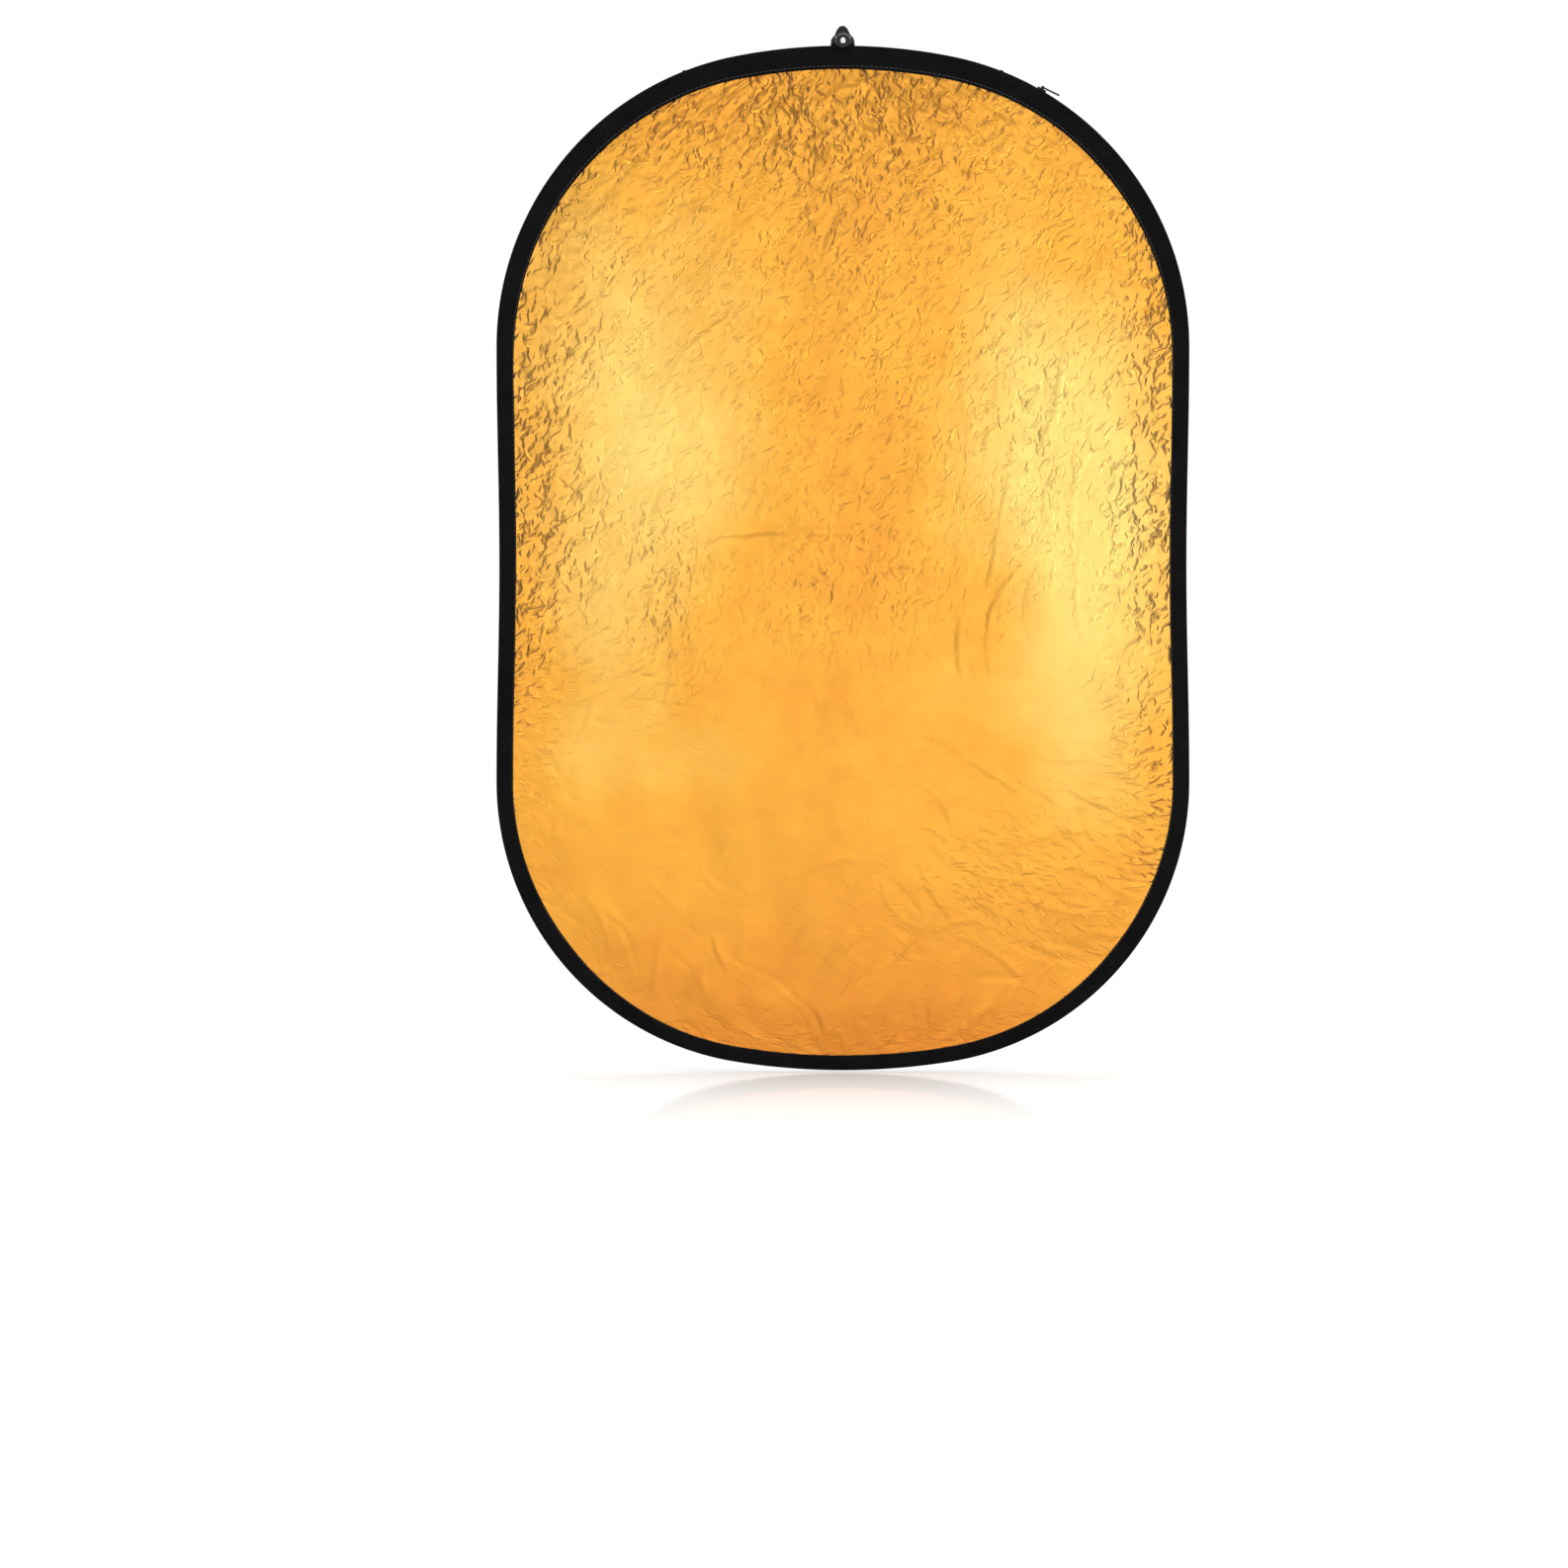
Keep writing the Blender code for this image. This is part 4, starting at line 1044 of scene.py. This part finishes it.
def build_spring():
    """Round-wire compression spring with closed ends."""
    start, end, radius, wire, turns = 31.3, 46.7, 5.6, 0.5, 6
    place = along_arm()
    rings = []
    count = turns * 28
    for i in range(count + 1):
        share = i / count
        eased = share * share * (3 - 2 * share) * 0.5 + share * 0.5
        angle = 2 * pi * turns * share
        middle = Vector((radius * cos(angle), radius * sin(angle), start + (end - start) * eased))
        outward = Vector((cos(angle), sin(angle), 0))
        ring = []
        for k in range(10):
            turn = 2 * pi * k / 10
            offset = outward * wire * cos(turn) + Vector((0, 0, wire * sin(turn)))
            ring.append(place @ (middle + offset) * MM)
        rings.append(ring)
    mesh = skin("spring_coil", np.array(rings), closed=False)
    spring = make_piece("spring_coil", mesh, SPRING, "spring_steel", "arm", "sleeve_spring")
    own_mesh(spring)


def build_sleeve():
    """Sliding sleeve with finger ears, a chamfered nose and the groove for the rim."""
    low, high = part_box("grip_sleeve")
    nose, rear = -low[1] / MM, -high[1] / MM
    outer = 10.85
    reach = (high[2] - ARM_AXIS.z) / MM / outer - 1
    profile = [
        (9.5, rear), (outer, rear), (outer, rear + 2.2), (outer, rear + 3.4), (outer, rear + 5.4),
        (outer - 0.25, nose - 9.0), (outer - 0.5, nose - 0.8), (outer - 1.3, nose), (3.3, nose),
        (3.3, nose - 6.0), (9.5, nose - 6.0),
    ]
    rows = round_edges(profile, 0.5, True)

    def ears(angle, row):
        radius, height = rows[row]
        if radius < 10.0:
            return 1.0
        up = abs(sin(angle))
        if height < rear + 2.4:
            return 1.0 + reach * up**9
        share = max(0.0, 1 - (height - rear - 2.2) / 3.0)
        return 1.0 + 0.20 * reach * up**4 * share * share

    mesh = turned_mesh("sleeve_body", rows, along_arm(), 160, True, ears)
    sleeve = make_piece("sleeve_body", mesh, ABS, "black_abs", "sleeve", "grip_sleeve")
    chamfer = [(4.9, nose + 1), (4.9, nose), (7.6, nose - 4.8), (12.5, nose - 4.8), (12.5, nose + 1)]
    groove = [(-8.6, nose + 1)]
    for i in range(13):
        share = i / 12
        groove.append((-7.6 + 8.4 * share, nose - 4.0 * sin(pi * share) ** 0.8))
    groove.append((1.6, nose + 1))
    for shape in (chamfer, groove):
        ends = [[along_arm() @ Vector((x, y, z)) * MM for y, z in shape] for x in (-12.0, 12.0)]
        subtract(sleeve, skin("cutter", np.array(ends), closed=False))
    sleeve.data.shade_smooth()
    sleeve.data.set_sharp_from_angle(angle=radians(35))


def finish_small_nodes():
    """Materials for the CAD nodes that stay as they are."""
    for names, finish in (
        (("swivel_screw", "swivel_washer", "jaw_tip_screw", "hoop_ferrule"), STEEL),
        (("zip_slider", "zip_pull", "zip_stop_left", "zip_stop_right"), ZIP_METAL),
        (("spring_hoop",), SPRING),
    ):
        for name in names:
            for slot in frame["nodes"][name].material_slots:
                slot.material = finish


# ---------------- stage

# How wide the picture is at the object, and the camera's offset from the object's middle
PICTURE_WIDTH = 1.3719
CAMERA_RIGHT, CAMERA_DROP = -0.0515, -0.1977
CAMERA_DISTANCE = 5.0
FRONT_LEVEL, BACK_LEVEL, TOP_EXTRA = 0.30, 1.0, 1.0
# Name, place, point it faces, width and height, watts
SOFTBOXES = [
    ("front_panel", (0.35, -7.2, MIDDLE_Z + 0.75), (0, MID_Y, MIDDLE_Z), (2.6, 2.6), 46.0),
    ("left_panel", (-1.05, -1.75, MIDDLE_Z + 0.25), (-0.15, MID_Y, MIDDLE_Z + 0.05), (0.5, 1.3), 6.0),
    ("right_panel", (1.10, -1.75, MIDDLE_Z + 0.15), (0.2, MID_Y, MIDDLE_Z + 0.05), (0.5, 1.4), 8.0),
    ("overhead", (0.1, -1.0, MIDDLE_Z + 2.4), (0, MID_Y, MIDDLE_Z), (2.2, 1.2), 14.0),
    ("back_left", (-2.2, 2.6, MIDDLE_Z + 1.3), (0, MID_Y, MIDDLE_Z), (1.6, 2.2), 5.0),
    ("back_right", (2.2, 2.6, MIDDLE_Z + 1.0), (0, MID_Y, MIDDLE_Z), (1.6, 2.2), 3.0),
]


def build_camera():
    """Level and square to the gold face, as far off centre as the framing needs."""
    data = bpy.data.cameras.new("camera")
    camera = put("camera", data)
    camera.location = (CAMERA_RIGHT, MID_Y - CAMERA_DISTANCE, MIDDLE_Z + CAMERA_DROP)
    camera.rotation_euler = (pi / 2, 0, 0)
    data.sensor_width = 36.0
    data.lens = data.sensor_width * CAMERA_DISTANCE / PICTURE_WIDTH
    data.clip_end = 60.0
    bpy.context.scene.camera = camera


def softbox(name, place, aim, size, watts):
    """A large soft light turned to a point."""
    data = bpy.data.lights.new(name, "AREA")
    data.shape = "RECTANGLE"
    data.size, data.size_y = size
    data.energy = watts
    lamp = put(name, data)
    lamp.location = place
    lamp.visible_camera = False
    lamp.rotation_euler = (Vector(aim) - Vector(place)).to_track_quat("-Z", "Y").to_euler()


def build_stage():
    """Pale glossy floor, white surroundings and soft lights."""
    floor_z = BOTTOM_Z - 1.5 * MM
    half = 12.0
    mesh = bpy.data.meshes.new("floor")
    corners = [(-half, -half, floor_z), (half, -half, floor_z), (half, half, floor_z), (-half, half, floor_z)]
    mesh.from_pydata(corners, [], [(0, 1, 2, 3)])
    floor = put("floor", mesh)
    n = Nodes("floor_gloss")
    matt = n.add("ShaderNodeBsdfDiffuse", {"Color": (0.73, 0.73, 0.73, 1.0)})
    gloss = n.add("ShaderNodeBsdfGlossy", {"Color": (1, 1, 1, 1), "Roughness": 0.06})
    shine = n.span(n.split(n.add("ShaderNodeTexCoord").outputs["Object"])[1], -2.6, -0.3, 0.0, 0.26)
    n.finish(n.add("ShaderNodeMixShader", {0: shine, 1: matt.outputs[0], 2: gloss.outputs[0]}))
    mesh.materials.append(n.owner)

    w = Nodes("studio", bpy.data.worlds)
    bpy.context.scene.world = w.owner
    way = w.split(w.add("ShaderNodeTexCoord").outputs["Generated"])
    level = w.span(way[1], -0.6, 0.5, FRONT_LEVEL, BACK_LEVEL)
    above = w.span(way[2], 0.30, 0.65, 0.0, TOP_EXTRA)
    light = {"Color": (1, 1, 1, 1), "Strength": w.math("ADD", level, above)}
    lit, seen = w.add("ShaderNodeBackground", light), w.tree.nodes["Background"]
    seen.inputs["Color"].default_value = (1, 1, 1, 1)
    ray = w.add("ShaderNodeLightPath").outputs["Is Camera Ray"]
    mixed = w.add("ShaderNodeMixShader", {0: ray, 1: lit.outputs[0], 2: seen.outputs[0]})
    w.finish(mixed, "World Output")

    for name, place, aim, size, watts in SOFTBOXES:
        softbox(name, place, aim, size, watts)
    bpy.context.scene.view_settings.view_transform = "Standard"


build_camera()
build_sheets()
build_tapes()
build_zip()
build_pocket()
build_collar()
build_knob()
build_elbow()
build_shaft()
build_spring()
build_sleeve()
finish_small_nodes()
build_stage()
